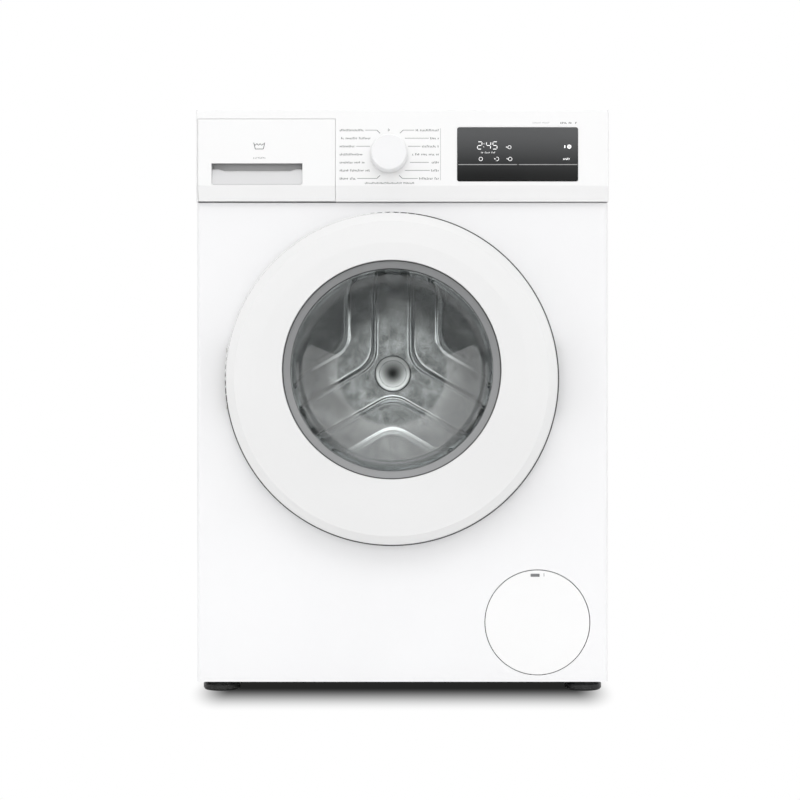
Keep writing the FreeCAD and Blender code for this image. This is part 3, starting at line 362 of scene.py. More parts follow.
def metalFinish(name, colour, roughness, stretch=(40.0, 900.0, 900.0), depth=0.01, tone=0.12, metallic=1.0):
    # brushed or rolled metal: streaks in tone, roughness and bump
    material, tree, shader = newMaterial(name)
    streaks = placeGroup(tree, effects["brushed"], Stretch=stretch)
    base = tonedColour(tree, colour, streaks.outputs["Stain"], tone)
    tree.links.new(base, shader.inputs["Base Color"])
    roughened(tree, shader, streaks.outputs["Tone"], roughness * 0.75, roughness * 1.25, 0.3, 0.7)
    bumped(tree, shader, streaks.outputs["Height"], 0.4, depth)
    shader.inputs["Metallic"].default_value = metallic
    return material


def spangledFinish(name, colour, roughness):
    # zinc-coated sheet: crystals of slightly different tone and gloss
    material, tree, shader = newMaterial(name)
    place = addNode(tree, "TexCoord").outputs["Object"]
    crystal = addNode(tree, "TexVoronoi", {"Vector": place, "Scale": 150.0}).outputs["Color"]
    shade = addNode(tree, "SeparateColor", {"Color": crystal}).outputs["Red"]
    skin = placeGroup(tree, effects["grain"], Scale=500.0)
    worn = placeGroup(tree, effects["edge"])
    base = mixedColour(tree, reckon(tree, "MULTIPLY", worn.outputs["Mask"], 0.5),
                       tonedColour(tree, colour, shade, 0.07), paint(225))
    tree.links.new(base, shader.inputs["Base Color"])
    roughened(tree, shader, shade, roughness * 0.8, roughness * 1.2)
    bumped(tree, shader, skin.outputs["Height"], 0.4, 0.02)
    shader.inputs["Metallic"].default_value = 0.85
    return material


def displayFinish(name):
    # smoked window: black at the foot, and lighter towards the top as a painted reflection, with a faint fleck
    # under the gloss
    material, tree, shader = newMaterial(name)
    low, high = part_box("display_window")
    height = addNode(tree, "SeparateXYZ", {0: addNode(tree, "TexCoord").outputs["Object"]}).outputs["Z"]
    rise = addNode(tree, "MapRange", {"Value": height, "From Min": low.z, "From Max": high.z},
                   interpolation_type="SMOOTHSTEP").outputs["Result"]
    skin = placeGroup(tree, effects["grain"], Scale=1500.0, Drift=14.0)
    # painted reflection: the smoked black of the foot lightens towards the top
    smokeAndReflection = mixedColour(tree, rise, paint(12, 13, 13), paint(86, 87, 88))
    fleck = reckon(tree, "MULTIPLY", skin.outputs["Tone"], 0.12)
    flecked = mixedColour(tree, fleck, smokeAndReflection, paint(40, 42, 43))
    tree.links.new(flecked, shader.inputs["Base Color"])
    roughened(tree, shader, skin.outputs["Tone"], 0.10, 0.2)
    bumped(tree, shader, skin.outputs["Height"], 0.1, 0.004)
    shader.inputs["Specular IOR Level"].default_value = 0.2
    return material


def glassFinish(name):
    # clear pressed glass, barely tinted, with a slow ripple
    material, tree, shader = newMaterial(name)
    skin = placeGroup(tree, effects["grain"], Scale=45.0, Drift=9.0)
    tint = tonedColour(tree, paint(247, 250, 249), skin.outputs["Tone"], 0.02)
    tree.links.new(tint, shader.inputs["Base Color"])
    roughened(tree, shader, skin.outputs["Tone"], 0.0, 0.015)
    bumped(tree, shader, skin.outputs["Height"], 0.05, 0.04)
    shader.inputs["Transmission Weight"].default_value = 1.0
    shader.inputs["IOR"].default_value = 1.46
    return material


def hubFinish(name):
    # turned steel cap with a painted reflection in its base tone: dark at the drum's axis, climbing to bright
    # with the distance from it, and dark again over the rim as painted shade
    material, tree, shader = newMaterial(name)
    place = addNode(tree, "TexCoord").outputs["Object"]
    centre = middle("door_glass")
    offset = addNode(tree, "VectorMath", {0: place, 1: (centre.x, 0.0, centre.z)},
                     operation="SUBTRACT").outputs[0]
    flat = addNode(tree, "VectorMath", {0: offset, 1: (1.0, 0.0, 1.0)}, operation="MULTIPLY").outputs[0]
    radius = addNode(tree, "VectorMath", {0: flat}, operation="LENGTH").outputs["Value"]
    paintedReflection = addNode(tree, "MapRange", {"Value": radius, "From Min": 0.001, "From Max": 0.024},
                    interpolation_type="SMOOTHSTEP").outputs["Result"]
    # painted shade: a dark ring over the rolled rim, where the cap meets the panel
    rim = addNode(tree, "MapRange", {"Value": radius, "From Min": 0.0288,
                                     "From Max": 0.0298}).outputs["Result"]
    streaks = placeGroup(tree, effects["brushed"], Stretch=(200.0, 200.0, 200.0))
    # painted reflection: dark at the centre, bright towards the rim
    face = mixedColour(tree, paintedReflection, paint(38), paint(246))
    worn = mixedColour(tree, reckon(tree, "MULTIPLY", streaks.outputs["Stain"], 0.06), face, paint(150))
    tree.links.new(mixedColour(tree, rim, worn, paint(30)), shader.inputs["Base Color"])
    roughened(tree, shader, streaks.outputs["Tone"], 0.2, 0.3)
    bumped(tree, shader, streaks.outputs["Height"], 0.3, 0.002)
    shader.inputs["Metallic"].default_value = 0.55
    return material


def litFinish(name, level):
    # lit segments behind the smoked window
    material, tree, shader = newMaterial(name)
    skin = placeGroup(tree, effects["grain"], Scale=700.0, Drift=60.0)
    glow = tonedColour(tree, paint(level, level, level), skin.outputs["Tone"], 0.25)
    tree.links.new(glow, shader.inputs["Emission Color"])
    tree.links.new(glow, shader.inputs["Base Color"])
    shader.inputs["Emission Strength"].default_value = 0.6
    shader.inputs["Roughness"].default_value = 0.4
    return material


finishes = {
    "cabinet_enamel": shellFinish("cabinetEnamel", paint(240, 240, 241), 0.34, grain=650.0, depth=0.05,
                                  tone=0.02, edge=0.25, edgeColour=paint(225, 225, 228), coat=0.3),
    "front_plastic": shellFinish("whitePlastic", paint(242), 0.36, grain=1500.0, depth=0.02, tone=0.015,
                                 edge=0.2, edgeColour=paint(250), coat=0.15),
    "worktop_laminate": shellFinish("worktopLaminate", paint(228, 228, 227), 0.42, grain=480.0, depth=0.08,
                                    tone=0.03, edge=0.3, edgeColour=paint(215)),
    "base_grey": shellFinish("greyPlastic", paint(150, 152, 154), 0.5, grain=700.0, depth=0.08, tone=0.1,
                             edge=0.5, edgeColour=paint(190)),
    "tray_grey": shellFinish("trayPlastic", paint(196, 200, 204), 0.4, grain=900.0, depth=0.04, tone=0.06,
                             edge=0.4, edgeColour=paint(225)),
    "cap_black": shellFinish("blackPlastic", paint(38, 38, 40), 0.5, grain=800.0, depth=0.08, tone=0.2,
                             edge=0.5, edgeColour=paint(95)),
    "foot_black": shellFinish("footPlastic", paint(24, 24, 25), 0.28, grain=900.0, depth=0.05, tone=0.2,
                              edge=0.4, edgeColour=paint(90)),
    "tub_polymer": shellFinish("tubPolymer", paint(196, 195, 188), 0.6, grain=300.0, depth=0.15, tone=0.14,
                               edge=0.4, edgeColour=paint(222, 221, 214)),
    "belt_rubber": shellFinish("blackRubber", paint(34, 34, 35), 0.7, grain=1200.0, depth=0.08, tone=0.25,
                               edge=0.3, edgeColour=paint(80)),
    "gasket_rubber": shellFinish("gasketRubber", paint(168, 170, 172), 0.6, grain=1400.0, depth=0.05,
                                 tone=0.12),
    "paddle_plastic": shellFinish("paddlePlastic", paint(186, 190, 194), 0.38, grain=900.0, depth=0.05,
                                  tone=0.08, edge=0.4, edgeColour=paint(215)),
    "cast_concrete": shellFinish("castConcrete", paint(150, 147, 141), 0.9, grain=260.0, depth=0.9, tone=0.35,
                                 edge=0.6, edgeColour=paint(184, 181, 174), effect="pores"),
    "cast_aluminium": shellFinish("castAluminium", paint(176, 178, 181), 0.42, grain=420.0, depth=0.35,
                                  tone=0.15, edge=0.6, edgeColour=paint(225), metallic=0.9, effect="pores"),
    "motor_steel": metalFinish("motorSteel", paint(120, 122, 126), 0.42, (500.0, 30.0, 500.0)),
    "zinc_steel": metalFinish("zincSteel", paint(198, 198, 192), 0.34, (260.0, 260.0, 40.0), tone=0.2),
    "back_sheet": spangledFinish("zincSheet", paint(178, 182, 186), 0.42),
    "drum_stainless": metalFinish("drumStainless", paint(226, 227, 228), 0.21, (420.0, 22.0, 420.0),
                                  depth=0.003),
    "display_black": displayFinish("smokedWindowReflection"),
    "door_window_glass": glassFinish("bowlGlass"),
}
# dark finish of the window seal, also used for the painted shadow round the door's rim
sealAndRimShadow = shellFinish("sealAndRimShadow", paint(70, 71, 72), 0.45, grain=900.0, depth=0.03, tone=0.1)
windowTrim = shellFinish("windowTrim", paint(150, 151, 152), 0.4, grain=900.0, depth=0.03, tone=0.06)
hubSteel = hubFinish("hubSteel")
inkGrey = shellFinish("markInk", paint(52, 53, 55), 0.5, grain=1800.0, depth=0.005, tone=0.3)
# light-grey ink, also used as the painted shade on the flap notch's floor
lightInkAndShade = shellFinish("lineInkAndShade", paint(120, 121, 123), 0.5, grain=1800.0, depth=0.005, tone=0.2)
litSegments = litFinish("litSegments", 235)
litLine = litFinish("displayLine", 128)

knobPlastic = shellFinish("knobPlastic", paint(238, 238, 239), 0.32, grain=1500.0, depth=0.02, tone=0.02,
                          edge=0.3, edgeColour=paint(240), coat=0.2)
# painted shade in the drawer's finger recess: mid grey at its back, light grey on its lip
gripShade = shellFinish("gripShade", paint(168, 168, 169), 0.5, grain=1500.0, depth=0.02, tone=0.03)
gripLipShade = shellFinish("gripLipShade", paint(212, 212, 213), 0.42, grain=1500.0, depth=0.02, tone=0.02)
doorPlastic = shellFinish("doorPlastic", paint(229, 229, 229), 0.34, grain=1500.0, depth=0.02, tone=0.015,
                          edge=0.2, edgeColour=paint(244), coat=0.15)

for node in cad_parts.values():
    for place in node.material_slots:
        place.material = finishes[place.material.name]
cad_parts["door_outer_ring"].material_slots[0].material = doorPlastic
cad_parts["program_knob"].material_slots[0].material = knobPlastic
print("finishes on", len(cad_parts), "CAD nodes")

axis = middle("door_glass")        # the porthole, tub, drum and glass share this axis
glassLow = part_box("door_glass")[0]
bowl = {
    "outer": [(156.9, 0), (156.9, 15.4), (164, 15.4), (164, 19.8), (157.8, 19.8), (156.5, 28), (153.6, 84),
              (149, 96), (138, 103), (80, 110), (0, 112)],
    "inner": [(0, 108), (79, 106), (136.5, 99), (146, 92.5), (149.8, 83), (152.6, 28), (154.4, 0)],
    "softness": 4.5,        # how far before a corner the glass starts to turn, mm
    "count": 200,
    "step": 5.0,            # longest step along the outline, so that the flat parts stay flat when shaded
}


def shortSteps(outline, step):
    # points added along each side of an outline so that none is longer than the step
    counts = np.maximum(np.ceil(np.linalg.norm(np.diff(outline, axis=0), axis=1) / step).astype(int), 1)
    sides = [start + (end - start) * np.linspace(0, 1, count, endpoint=False)[:, None]
             for start, end, count in zip(outline[:-1], outline[1:], counts)]
    return np.concatenate(sides + [outline[-1:]])


def makeBowl():
    # outline of the bowl's wall turned round the porthole axis; y is measured from the flange's front
    outline = np.concatenate([openProfile(bowl[side], bowl["softness"]) for side in ("outer", "inner")])
    outline = shortSteps(np.concatenate([outline, outline[:1]]), bowl["step"])[:-1] * millimetre
    outline[:, 1] += glassLow.y
    points, faces = turnedSolid(outline, axis.x, axis.z, bowl["count"])
    piece = meshPiece("doorGlassBowl", points, faces, "door_window_glass", "door", ["door_glass"])
    return facedOutwards(piece, merge=2e-5)


# outlines of (radius, y), y measured from the front of the glass flange
windowRings = {
    "sealAndRimShadow": [(156.2, -0.2), (156.2, -3.4), (157.25, -3.4), (157.25, -0.2)],
    "windowTrim": [(156.1, -1.6), (146.3, 5.0), (146.3, 6.4), (153.8, 1.5), (154.2, -0.3), (156.1, -0.3)],
    "windowInner": [(145.7, 4.7), (146.3, 4.7), (146.3, 6.9), (145.7, 6.9)],
}


def makeWindowRings():
    # dark seal in the ring's opening, grey cone inside it, and the cone's dark inner edge
    for name, corners in windowRings.items():
        outline = roundedProfile(corners, 0.4) * millimetre
        outline[:, 1] += glassLow.y
        finish = windowTrim if name == "windowTrim" else sealAndRimShadow
        points, faces = turnedSolid(outline, axis.x, axis.z, 240)
        facedOutwards(meshPiece(name, points, faces, "gasket_rubber", "door", finish=finish))


rimShadowBand = {
    "outer": 240.3, "inner": 238.5,
    "bevelFrom": 10.2,      # where the band starts on the bevel, behind the door's front, mm
    "sideTo": 14.6,         # where it ends on the side
    "shift": 0.3,           # how far it sits towards the lower right, where the painted shadow is wider
}


def makeDoorRimShadow():
    # painted shadow round the rim of the door: a dark band, in the seal's dark finish, whose outline laps onto
    # the bevel and back along the side, turned round the door's centre
    centre, low = middle("door_outer_ring"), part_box("door_outer_ring")[0].y / millimetre
    outer, inner = rimShadowBand["outer"], rimShadowBand["inner"]
    start, end = low + rimShadowBand["bevelFrom"], low + rimShadowBand["sideTo"]
    corners = [(inner, start), (outer - 0.3, start + 1.9), (outer, start + 2.6), (outer, end),
               (outer - 1.0, end), (outer - 1.2, end - 1.6), (inner, start + 1.0)]
    shift = rimShadowBand["shift"] * millimetre
    points, faces = turnedSolid(np.array(corners) * millimetre, centre.x + shift, centre.z - shift, 300)
    facedOutwards(meshPiece("doorRimShadow", points, faces, "front_plastic", "door", finish=sealAndRimShadow))


makeBowl()
makeWindowRings()
makeDoorRimShadow()
print("door window made")

panelLow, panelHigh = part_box("drum_rear_panel")
press = {
    "armBead": 32.0,        # distance of the inner bead's crest from an arm's centre line, mm
    "bandBead": 78.0,       # distance of the outer bead's crest
    "flank": 8.0,           # half width of the gentle step under each bead
    "armRaise": 1.5, "bandRaise": 1.5,        # height of each step
    "beadRaise": 2.1, "beadSpread": 2.6,
    "bend": 24.0,           # width over which the two arms' distances blend into one rounded bend
    "coneFrom": 85.0, "cone": 0.05,           # outside this radius the panel leans back by this slope
    "coneBlend": 45.0,      # over this length the slope builds up
    "rings": 110, "spokes": 640, "sheet": 0.9,
    "wave": 0.6,            # uneven pressing of the sheet, mm
    "forward": 7.5,         # how far the lowest plane stands before the back of the CAD panel
}


def smoothStep(value, low, high):        # 0 below low, 1 above high, and 3t^2 - 2t^3 between them
    t = np.clip((value - low) / (high - low), 0, 1)
    return t * t * (3 - 2 * t)


def armDistance(x, z):
    # distance to the nearer arm line, with the distances to both neighbours of a wedge blended:
    # min(a, b) - (k - |a - b|)^2 / 4k where |a - b| < k
    radius, turn = np.hypot(x, z), np.arctan2(x, z)
    third = 2 * np.pi / 3
    turn = np.mod(turn, third)
    first, second = radius * np.sin(turn), radius * np.sin(third - turn)
    first = np.where(turn > np.pi / 2, radius, first)
    second = np.where(third - turn > np.pi / 2, radius, second)
    bend = press["bend"]
    overlap = np.maximum(bend - np.abs(first - second), 0)
    return np.minimum(first, second) - overlap ** 2 / (4 * bend)


def pressedHeight(x, z):
    # height of the pressing, mm: two steps 1 - smoothStep, a bead exp(-((d - crest) / spread)^2) on each, a
    # slow wave, and a cone that falls away outside coneFrom by slope * r^2 / (r + blend)
    distance, radius = armDistance(x, z), np.hypot(x, z)
    flank, arm, band = press["flank"], press["armBead"], press["bandBead"]
    bead = lambda crest: np.exp(-((distance - crest) / press["beadSpread"]) ** 2)
    height = press["bandRaise"] * (1 - smoothStep(distance, band - flank, band + flank))
    height += press["armRaise"] * (1 - smoothStep(distance, arm - flank, arm + flank))
    height += press["beadRaise"] * (bead(arm - 2) + 0.9 * bead(band - 2))
    wave = np.sin(x / 17.0 + 1.3) * np.cos(z / 21.0)
    wave += 0.7 * np.sin((x - z) / 26.0) + 0.5 * np.cos((x + 2 * z) / 23.0)
    uneven = press["wave"] * smoothStep(radius, 30.0, 110.0)
    beyond = np.maximum(radius - press["coneFrom"], 0)
    return height + uneven * wave - press["cone"] * beyond * beyond / (beyond + press["coneBlend"])


def makeDrumBack():
    # rings and spokes on the drum's axis, each point moved forward by the pressed height
    outer = (panelHigh.x - panelLow.x) / 2 / millimetre
    radius = np.linspace(22.0, outer, press["rings"])[:, None]
    turn = np.linspace(0, 2 * np.pi, press["spokes"], endpoint=False)[None, :]
    x, z = radius * np.sin(turn), radius * np.cos(turn)
    fade = smoothStep(outer - radius, 1.0, 16.0)
    y = panelHigh.y / millimetre - press["forward"] - pressedHeight(x, z) * fade
    points = np.stack([x + axis.x / millimetre, y, z + axis.z / millimetre], -1).reshape(-1, 3) * millimetre
    faces = gridFaces(press["rings"], press["spokes"], False, True)
    piece = meshPiece("drumBack", points, faces[:, ::-1], "drum_stainless", "drum", ["drum_rear_panel"])
    thickened(piece, press["sheet"])


hub = {
    "radius": 30.5, "rim": 28.5, "dish": 1.9, "ring": 0.7,
    "forward": 0.8,         # how far the rim stands before the front of the CAD panel, mm
    "skirt": 8.5,           # depth of the cap's side
}


def makeHubCap():
    # dished face: depth = dish * (1 - (r / rim)^2), then a rolled rim that laps over the panel
    front = panelLow.y / millimetre - hub["forward"]
    radius = np.linspace(0, hub["rim"], 26)
    face = np.stack([radius, front + hub["ring"] + hub["dish"] * (1 - (radius / hub["rim"]) ** 2)], 1)
    turn = np.radians(np.linspace(-150, 90, 14))
    roll = (hub["radius"] - hub["rim"]) / 2
    rim = np.stack([hub["rim"] + roll + roll * np.sin(turn), front + roll - roll * np.cos(turn)], 1)
    back = [(hub["radius"], front + hub["skirt"]), (0, front + hub["skirt"] + 1.0)]
    points, faces = turnedSolid(np.concatenate([face, rim, back]) * millimetre, axis.x, axis.z, 120)
    facedOutwards(meshPiece("hubCap", points, faces, "drum_stainless", "drum", finish=hubSteel), merge=2e-5)


wall = {
    "pitch": 15.5,                                  # distance from hole to hole, mm
    "hole": 1.7, "slope": 3.15, "dimple": 5.74,     # radii of the hole, the dimple's flank and its rim
    "depth": 0.9, "sheet": 0.8,
}


def makeDrumWall():
    # one cell repeated round and along the shell: eight points on its square, then rings of eight at the
    # dimple's rim, on its flank and round the hole; radius = shell radius + depth of the dimple there
    low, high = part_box("drum_shell")
    shell = (high.x - low.x) / 2 / millimetre - 0.6
    across = int(2 * np.pi * shell / wall["pitch"])
    start, end = low.y / millimetre + 0.4, high.y / millimetre - 0.4
    along = int((end - start) / wall["pitch"])
    depth = (end - start) / along
    half = np.array([[-1, -1], [0, -1], [1, -1], [1, 0], [1, 1], [0, 1], [-1, 1], [-1, 0]]) / 2
    spoke = half / np.linalg.norm(half, axis=1)[:, None]
    arcPitch = 2 * np.pi * shell / across
    rings = [spoke * wall[radius] for radius in ("dimple", "slope", "hole")]
    cell = np.concatenate([half * [arcPitch, depth], *rings])
    push = np.repeat([0.0, 0.0, wall["depth"] * 0.8, wall["depth"]], 8)
    u = (np.arange(across) + 0.5)[:, None, None] * arcPitch + cell[None, None, :, 0]
    v = start + (np.arange(along) + 0.5)[None, :, None] * depth + cell[None, None, :, 1]
    radius = shell + push[None, None, :] + 0 * u * v
    angle = (u + 0 * v) / shell
    points = np.stack([axis.x / millimetre + radius * np.sin(angle), v + 0 * u,
                       axis.z / millimetre + radius * np.cos(angle)], -1).reshape(-1, 3) * millimetre
    ring = np.arange(8)
    after = (ring + 1) % 8
    quads = [8 * k + np.stack([ring, after, 8 + after, 8 + ring], 1) for k in range(3)]
    faces = np.concatenate(quads)[None] + 32 * np.arange(across * along)[:, None, None]
    piece = meshPiece("drumWall", points, faces.reshape(-1, 4), "drum_stainless", "drum", ["drum_shell"])
    thickened(facedOutwards(piece, merge=2e-5), wall["sheet"], 0.0)


makeDrumBack()
makeHubCap()
makeDrumWall()
print("drum made")

gasketLow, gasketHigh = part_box("door_gasket")
bellows = {"radius": 168.0, "folds": 3, "depth": 2.2, "wall": 2.2, "count": 220}


def makeGasket():
    # wall line: radius = r0 + fold depth * cos(2 pi folds t) between the lip on the porthole and the bead on
    # the tub
    t = np.linspace(0, 1, 61)
    length = (gasketHigh.y - gasketLow.y) / millimetre
    y = 6 + t * (length - 18)
    fold = np.cos(2 * np.pi * bellows["folds"] * t) * smoothStep(t, 0, 0.12)
    radius = bellows["radius"] + bellows["depth"] * fold
    half = bellows["wall"] / 2
    inside = np.stack([radius - half, y], 1)
    outside = np.stack([radius + half, y], 1)[::-1]
    lip = [(171.3, 0.4), (170.5, 0.1), (167.0, 0.3), (165.4, 2.0)]
    rear = [(168.5, length - 9), (170, length - 3), (172, length - 0.6), (176.8, length - 0.6),
            (177.4, length - 2), (177.4, length - 10), (175.5, length - 11)]
    outline = np.concatenate([lip, inside, rear, outside, [(169.5, 3.0), (171.3, 2.4)]]) * millimetre
    outline[:, 1] += gasketLow.y
    points, faces = turnedSolid(outline, axis.x, axis.z, bellows["count"])
    piece = facedOutwards(meshPiece("doorGasket", points, faces, "gasket_rubber", None, ["door_gasket"]))
    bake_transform(piece)


springLow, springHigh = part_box("suspension_springs")
coil = {
    "wire": 1.45, "pitch": 3.7, "sides": 8, "perTurn": 18,
    "hook": 0.35,           # share of the radius that the ends of the wire are pulled in to
}


def makeSprings():
    # helix: angle = 2 pi turns t, radius pulled in over the first and last turn, z from foot to top
    reach = (springHigh.y - springLow.y) / 2 / millimetre - coil["wire"] - 0.1
    foot, top = springLow.z / millimetre + coil["wire"], springHigh.z / millimetre - coil["wire"]
    turns = (top - foot) / coil["pitch"]
    t = np.linspace(0, 1, int(turns * coil["perTurn"]))
    full = np.minimum(smoothStep(t, 0, 2 / turns), smoothStep(1 - t, 0, 2 / turns))
    radius = reach * (coil["hook"] + (1 - coil["hook"]) * full)
    angle = 2 * np.pi * turns * t
    y = middle("suspension_springs").y / millimetre + radius * np.sin(angle)
    parts = []
    inset, wire = reach + coil["wire"], coil["wire"] * millimetre
    for centre in (springLow.x / millimetre + inset, springHigh.x / millimetre - inset):
        path = np.stack([centre + radius * np.cos(angle), y, foot + (top - foot) * t], 1)
        parts.append(carriedTube(path * millimetre, wire, coil["sides"], across=(0, 0, 1)))
    points, faces = joinedParts(parts)
    piece = meshPiece("suspensionSprings", points, faces, "zinc_steel", None, ["suspension_springs"])
    facedOutwards(piece, cap=True)
    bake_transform(piece)


def corrugatedHose(name, path, radius, ridge, pitch, cuff, node, start, end, bodies):
    # tube along the path whose radius is r - ridge + ridge * cos(2 pi s / pitch), plain over the cuffs
    step = np.linalg.norm(np.diff(path, axis=0), axis=1)
    s = np.concatenate([[0], np.cumsum(step)])
    plain = 1 - np.minimum(smoothStep(s, cuff, cuff + 2), smoothStep(s[-1] - s, cuff, cuff + 2))
    folds = np.maximum(np.cos(2 * np.pi * s / pitch), plain)
    reach = radius - ridge + ridge * folds
    points, faces = carriedTube(path * millimetre, reach * millimetre, 28, across=(0, 1, 0))
    piece = facedOutwards(meshPiece(name, points, faces, "belt_rubber", None, [node]), cap=True)
    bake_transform(piece)


hoses = {
    "bend": 45.0,           # radius of the sump hose's bend from the tub down to the pump, mm
    "sumpRidge": (1.6, 5.2, 14.0), "dispenserRidge": (2.0, 5.0, 5.0),        # ridge, pitch and plain cuff
    "slack": 0.1,           # how far a hose stays inside its CAD solid
}


def makeHoses():
    # sump hose: down, a quarter turn and level; dispenser hose: straight down
    low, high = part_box("sump_hose")
    radius = (high.y - low.y) / 2 / millimetre
    x, y, right = low.x / millimetre + radius, middle("sump_hose").y / millimetre, high.x / millimetre
    level, bend = low.z / millimetre + radius, hoses["bend"]
    line = lambda along, across: np.stack(np.broadcast_arrays(along, y, across), 1)
    arc = np.linspace(np.pi, 1.5 * np.pi, 90)[1:-1]
    path = np.concatenate([line(x, np.linspace(high.z / millimetre, level + bend, 120)),
                           line(x + bend + bend * np.cos(arc), level + bend + bend * np.sin(arc)),
                           line(np.linspace(x + bend, right, 60), level)])
    start = (x * millimetre, y * millimetre, high.z - 0.012)
    end = (x * millimetre, y * millimetre, (level + bend) * millimetre)
    corrugatedHose("sumpHose", path, radius - hoses["slack"], *hoses["sumpRidge"], "sump_hose", start, end,
                   ("tub", "cabinet"))
    low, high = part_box("dispenser_hose")
    centre, radius = middle("dispenser_hose"), (high.x - low.x) / 2 / millimetre
    z = np.linspace(high.z / millimetre, low.z / millimetre, 90)
    path = np.stack(np.broadcast_arrays(centre.x / millimetre, centre.y / millimetre, z), 1)
    start, end = (centre.x, centre.y, high.z - 0.003), (centre.x, centre.y, low.z + 0.003)
    corrugatedHose("dispenserHose", path, radius - hoses["slack"], *hoses["dispenserRidge"], "dispenser_hose",
                   start, end, ("cabinet", "tub"))


makeGasket()
makeSprings()
makeHoses()
print("gasket, springs and hoses made")

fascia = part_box("control_fascia")[0].y        # the face that the marks are printed on
knobCentre = middle("program_knob") / millimetre
random = np.random.default_rng(41)

marks = {
    "rowPitch": 11.65, "rows": 7, "drop": 0.5,
    "leftEdge": -71.4, "rightEdge": 72.6,        # from the knob's centre, mm
    "leftWidths": (35.0, 45.0, 22.0, 33.5, 36.4, 44.0, 23.3),
    "rightWidths": (34.0, 13.0, 25.0, 39.0, 13.0, 11.5, 29.0),
    "word": (2.1, 3.0, 0.72),                    # pitch of the letters, their height and their stroke
    "leader": 0.7, "gap": 2.0,
    "leftLeaders": {0: 17.5, 2: 27.5, 6: 17.5},  # row: distance of the leader's inner end from the centre
    "rightLeaders": {0: 20.5, 1: 23.0, 2: 27.5, 4: 30.5, 5: 23.0, 6: 19.5},
    "tail": (4.6, 4.4, 0.91),                    # how far the outer leaders bend in to the knob, and width
    "below": (-35.0, 72.0, -42.0), "belowWord": (1.8, 2.4, 0.62),
    "divider": (-38.0, 37.0, 0.35),
}


def greekedWord(left, width, z, letter, height, stroke):
    # a row of strokes that stands for a word: each letter an upright and one short bar, none of them readable
    count = max(int(width / letter), 1)
    x = left + (np.arange(count) + 0.3) * width / count
    keep = random.random(count) > 0.1
    tall = height * random.choice([0.72, 0.72, 1.0], count)
    foot = z - height / 2
    upright = np.stack([x, np.full(count, foot), x, foot + tall, np.full(count, stroke)], 1)
    level = foot + tall * random.choice([0.1, 0.5, 0.9], count)
    bar = np.stack([x, level, x + letter * 0.55, level, np.full(count, stroke * 0.8)], 1)
    return np.concatenate([upright, bar])[np.concatenate([keep, keep])]


def makeProgrammeMarks():
    # seven rows each side of the knob, their leader lines, one line under the knob, the divider at the right
    x0, z0 = knobCentre.x, knobCentre.z
    left, right = x0 + marks["leftEdge"], x0 + marks["rightEdge"]
    middleRow = (marks["rows"] - 1) / 2
    height = [z0 + (middleRow - row) * marks["rowPitch"] - marks["drop"] for row in range(marks["rows"])]
    words, lines = [], []
    for z, leftWidth, rightWidth in zip(height, marks["leftWidths"], marks["rightWidths"]):
        words += [greekedWord(left, leftWidth, z, *marks["word"]),
                  greekedWord(right - rightWidth, rightWidth, z, *marks["word"])]
    for row, reach in marks["leftLeaders"].items():
        outer = left + marks["leftWidths"][row] + marks["gap"]
        lines.append([outer, height[row], x0 - reach, height[row], marks["leader"]])
    for row, reach in marks["rightLeaders"].items():
        outer = right - marks["rightWidths"][row] - marks["gap"]
        lines.append([x0 + reach, height[row], outer, height[row], marks["leader"]])
    across, upward, thick = marks["tail"]
    for side, leaders in ((-1, marks["leftLeaders"]), (1, marks["rightLeaders"])):
        for row, up in ((0, 1), (marks["rows"] - 1, -1)):
            begin, z = leaders[row], height[row]
            lines.append([x0 + side * begin, z, x0 + side * (begin - across), z - up * upward, thick])
    start, width, drop = marks["below"]
    words.append(greekedWord(x0 + start, width, z0 + drop, *marks["belowWord"]))
    foot, top, stroke = marks["divider"]
    lines.append([right + marks["gap"], z0 + foot, right + marks["gap"], z0 + top, stroke])
    flatBarPiece("programmeWords", words, fascia, inkGrey)
    flatBarPiece("programmeLines", lines, fascia, lightInkAndShade)


def printedText(name, text, x, z, size, ink, face, body="cabinet"):
    # plain numbers, drawn flat, made a mesh and then stood up on the face of the fascia
    curve = bpy.data.curves.new(name, "FONT")
    curve.body, curve.size, curve.align_x, curve.align_y = text, size * millimetre, "CENTER", "CENTER"
    curve.extrude = printThickness / 2 * millimetre
    holder = bpy.data.objects.new(name, curve)
    bpy.context.scene.collection.objects.link(holder)
    bpy.context.view_layer.update()
    mesh = bpy.data.meshes.new_from_object(holder.evaluated_get(bpy.context.evaluated_depsgraph_get()))
    bpy.data.objects.remove(holder)
    flat = np.zeros(len(mesh.vertices) * 3, np.float32)
    mesh.vertices.foreach_get("co", flat)
    flat = flat.reshape(-1, 3)
    stood = np.stack([flat[:, 0] + x * millimetre, face - flat[:, 2], flat[:, 1] + z * millimetre], 1)
    mesh.vertices.foreach_set("co", stood.astype(np.float32).ravel())
    mesh.update()
    piece = bpy.data.objects.new(name, mesh)
    bpy.context.scene.collection.objects.link(piece)
    mesh.materials.clear()
    mesh.materials.append(ink)
    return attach(piece, body)


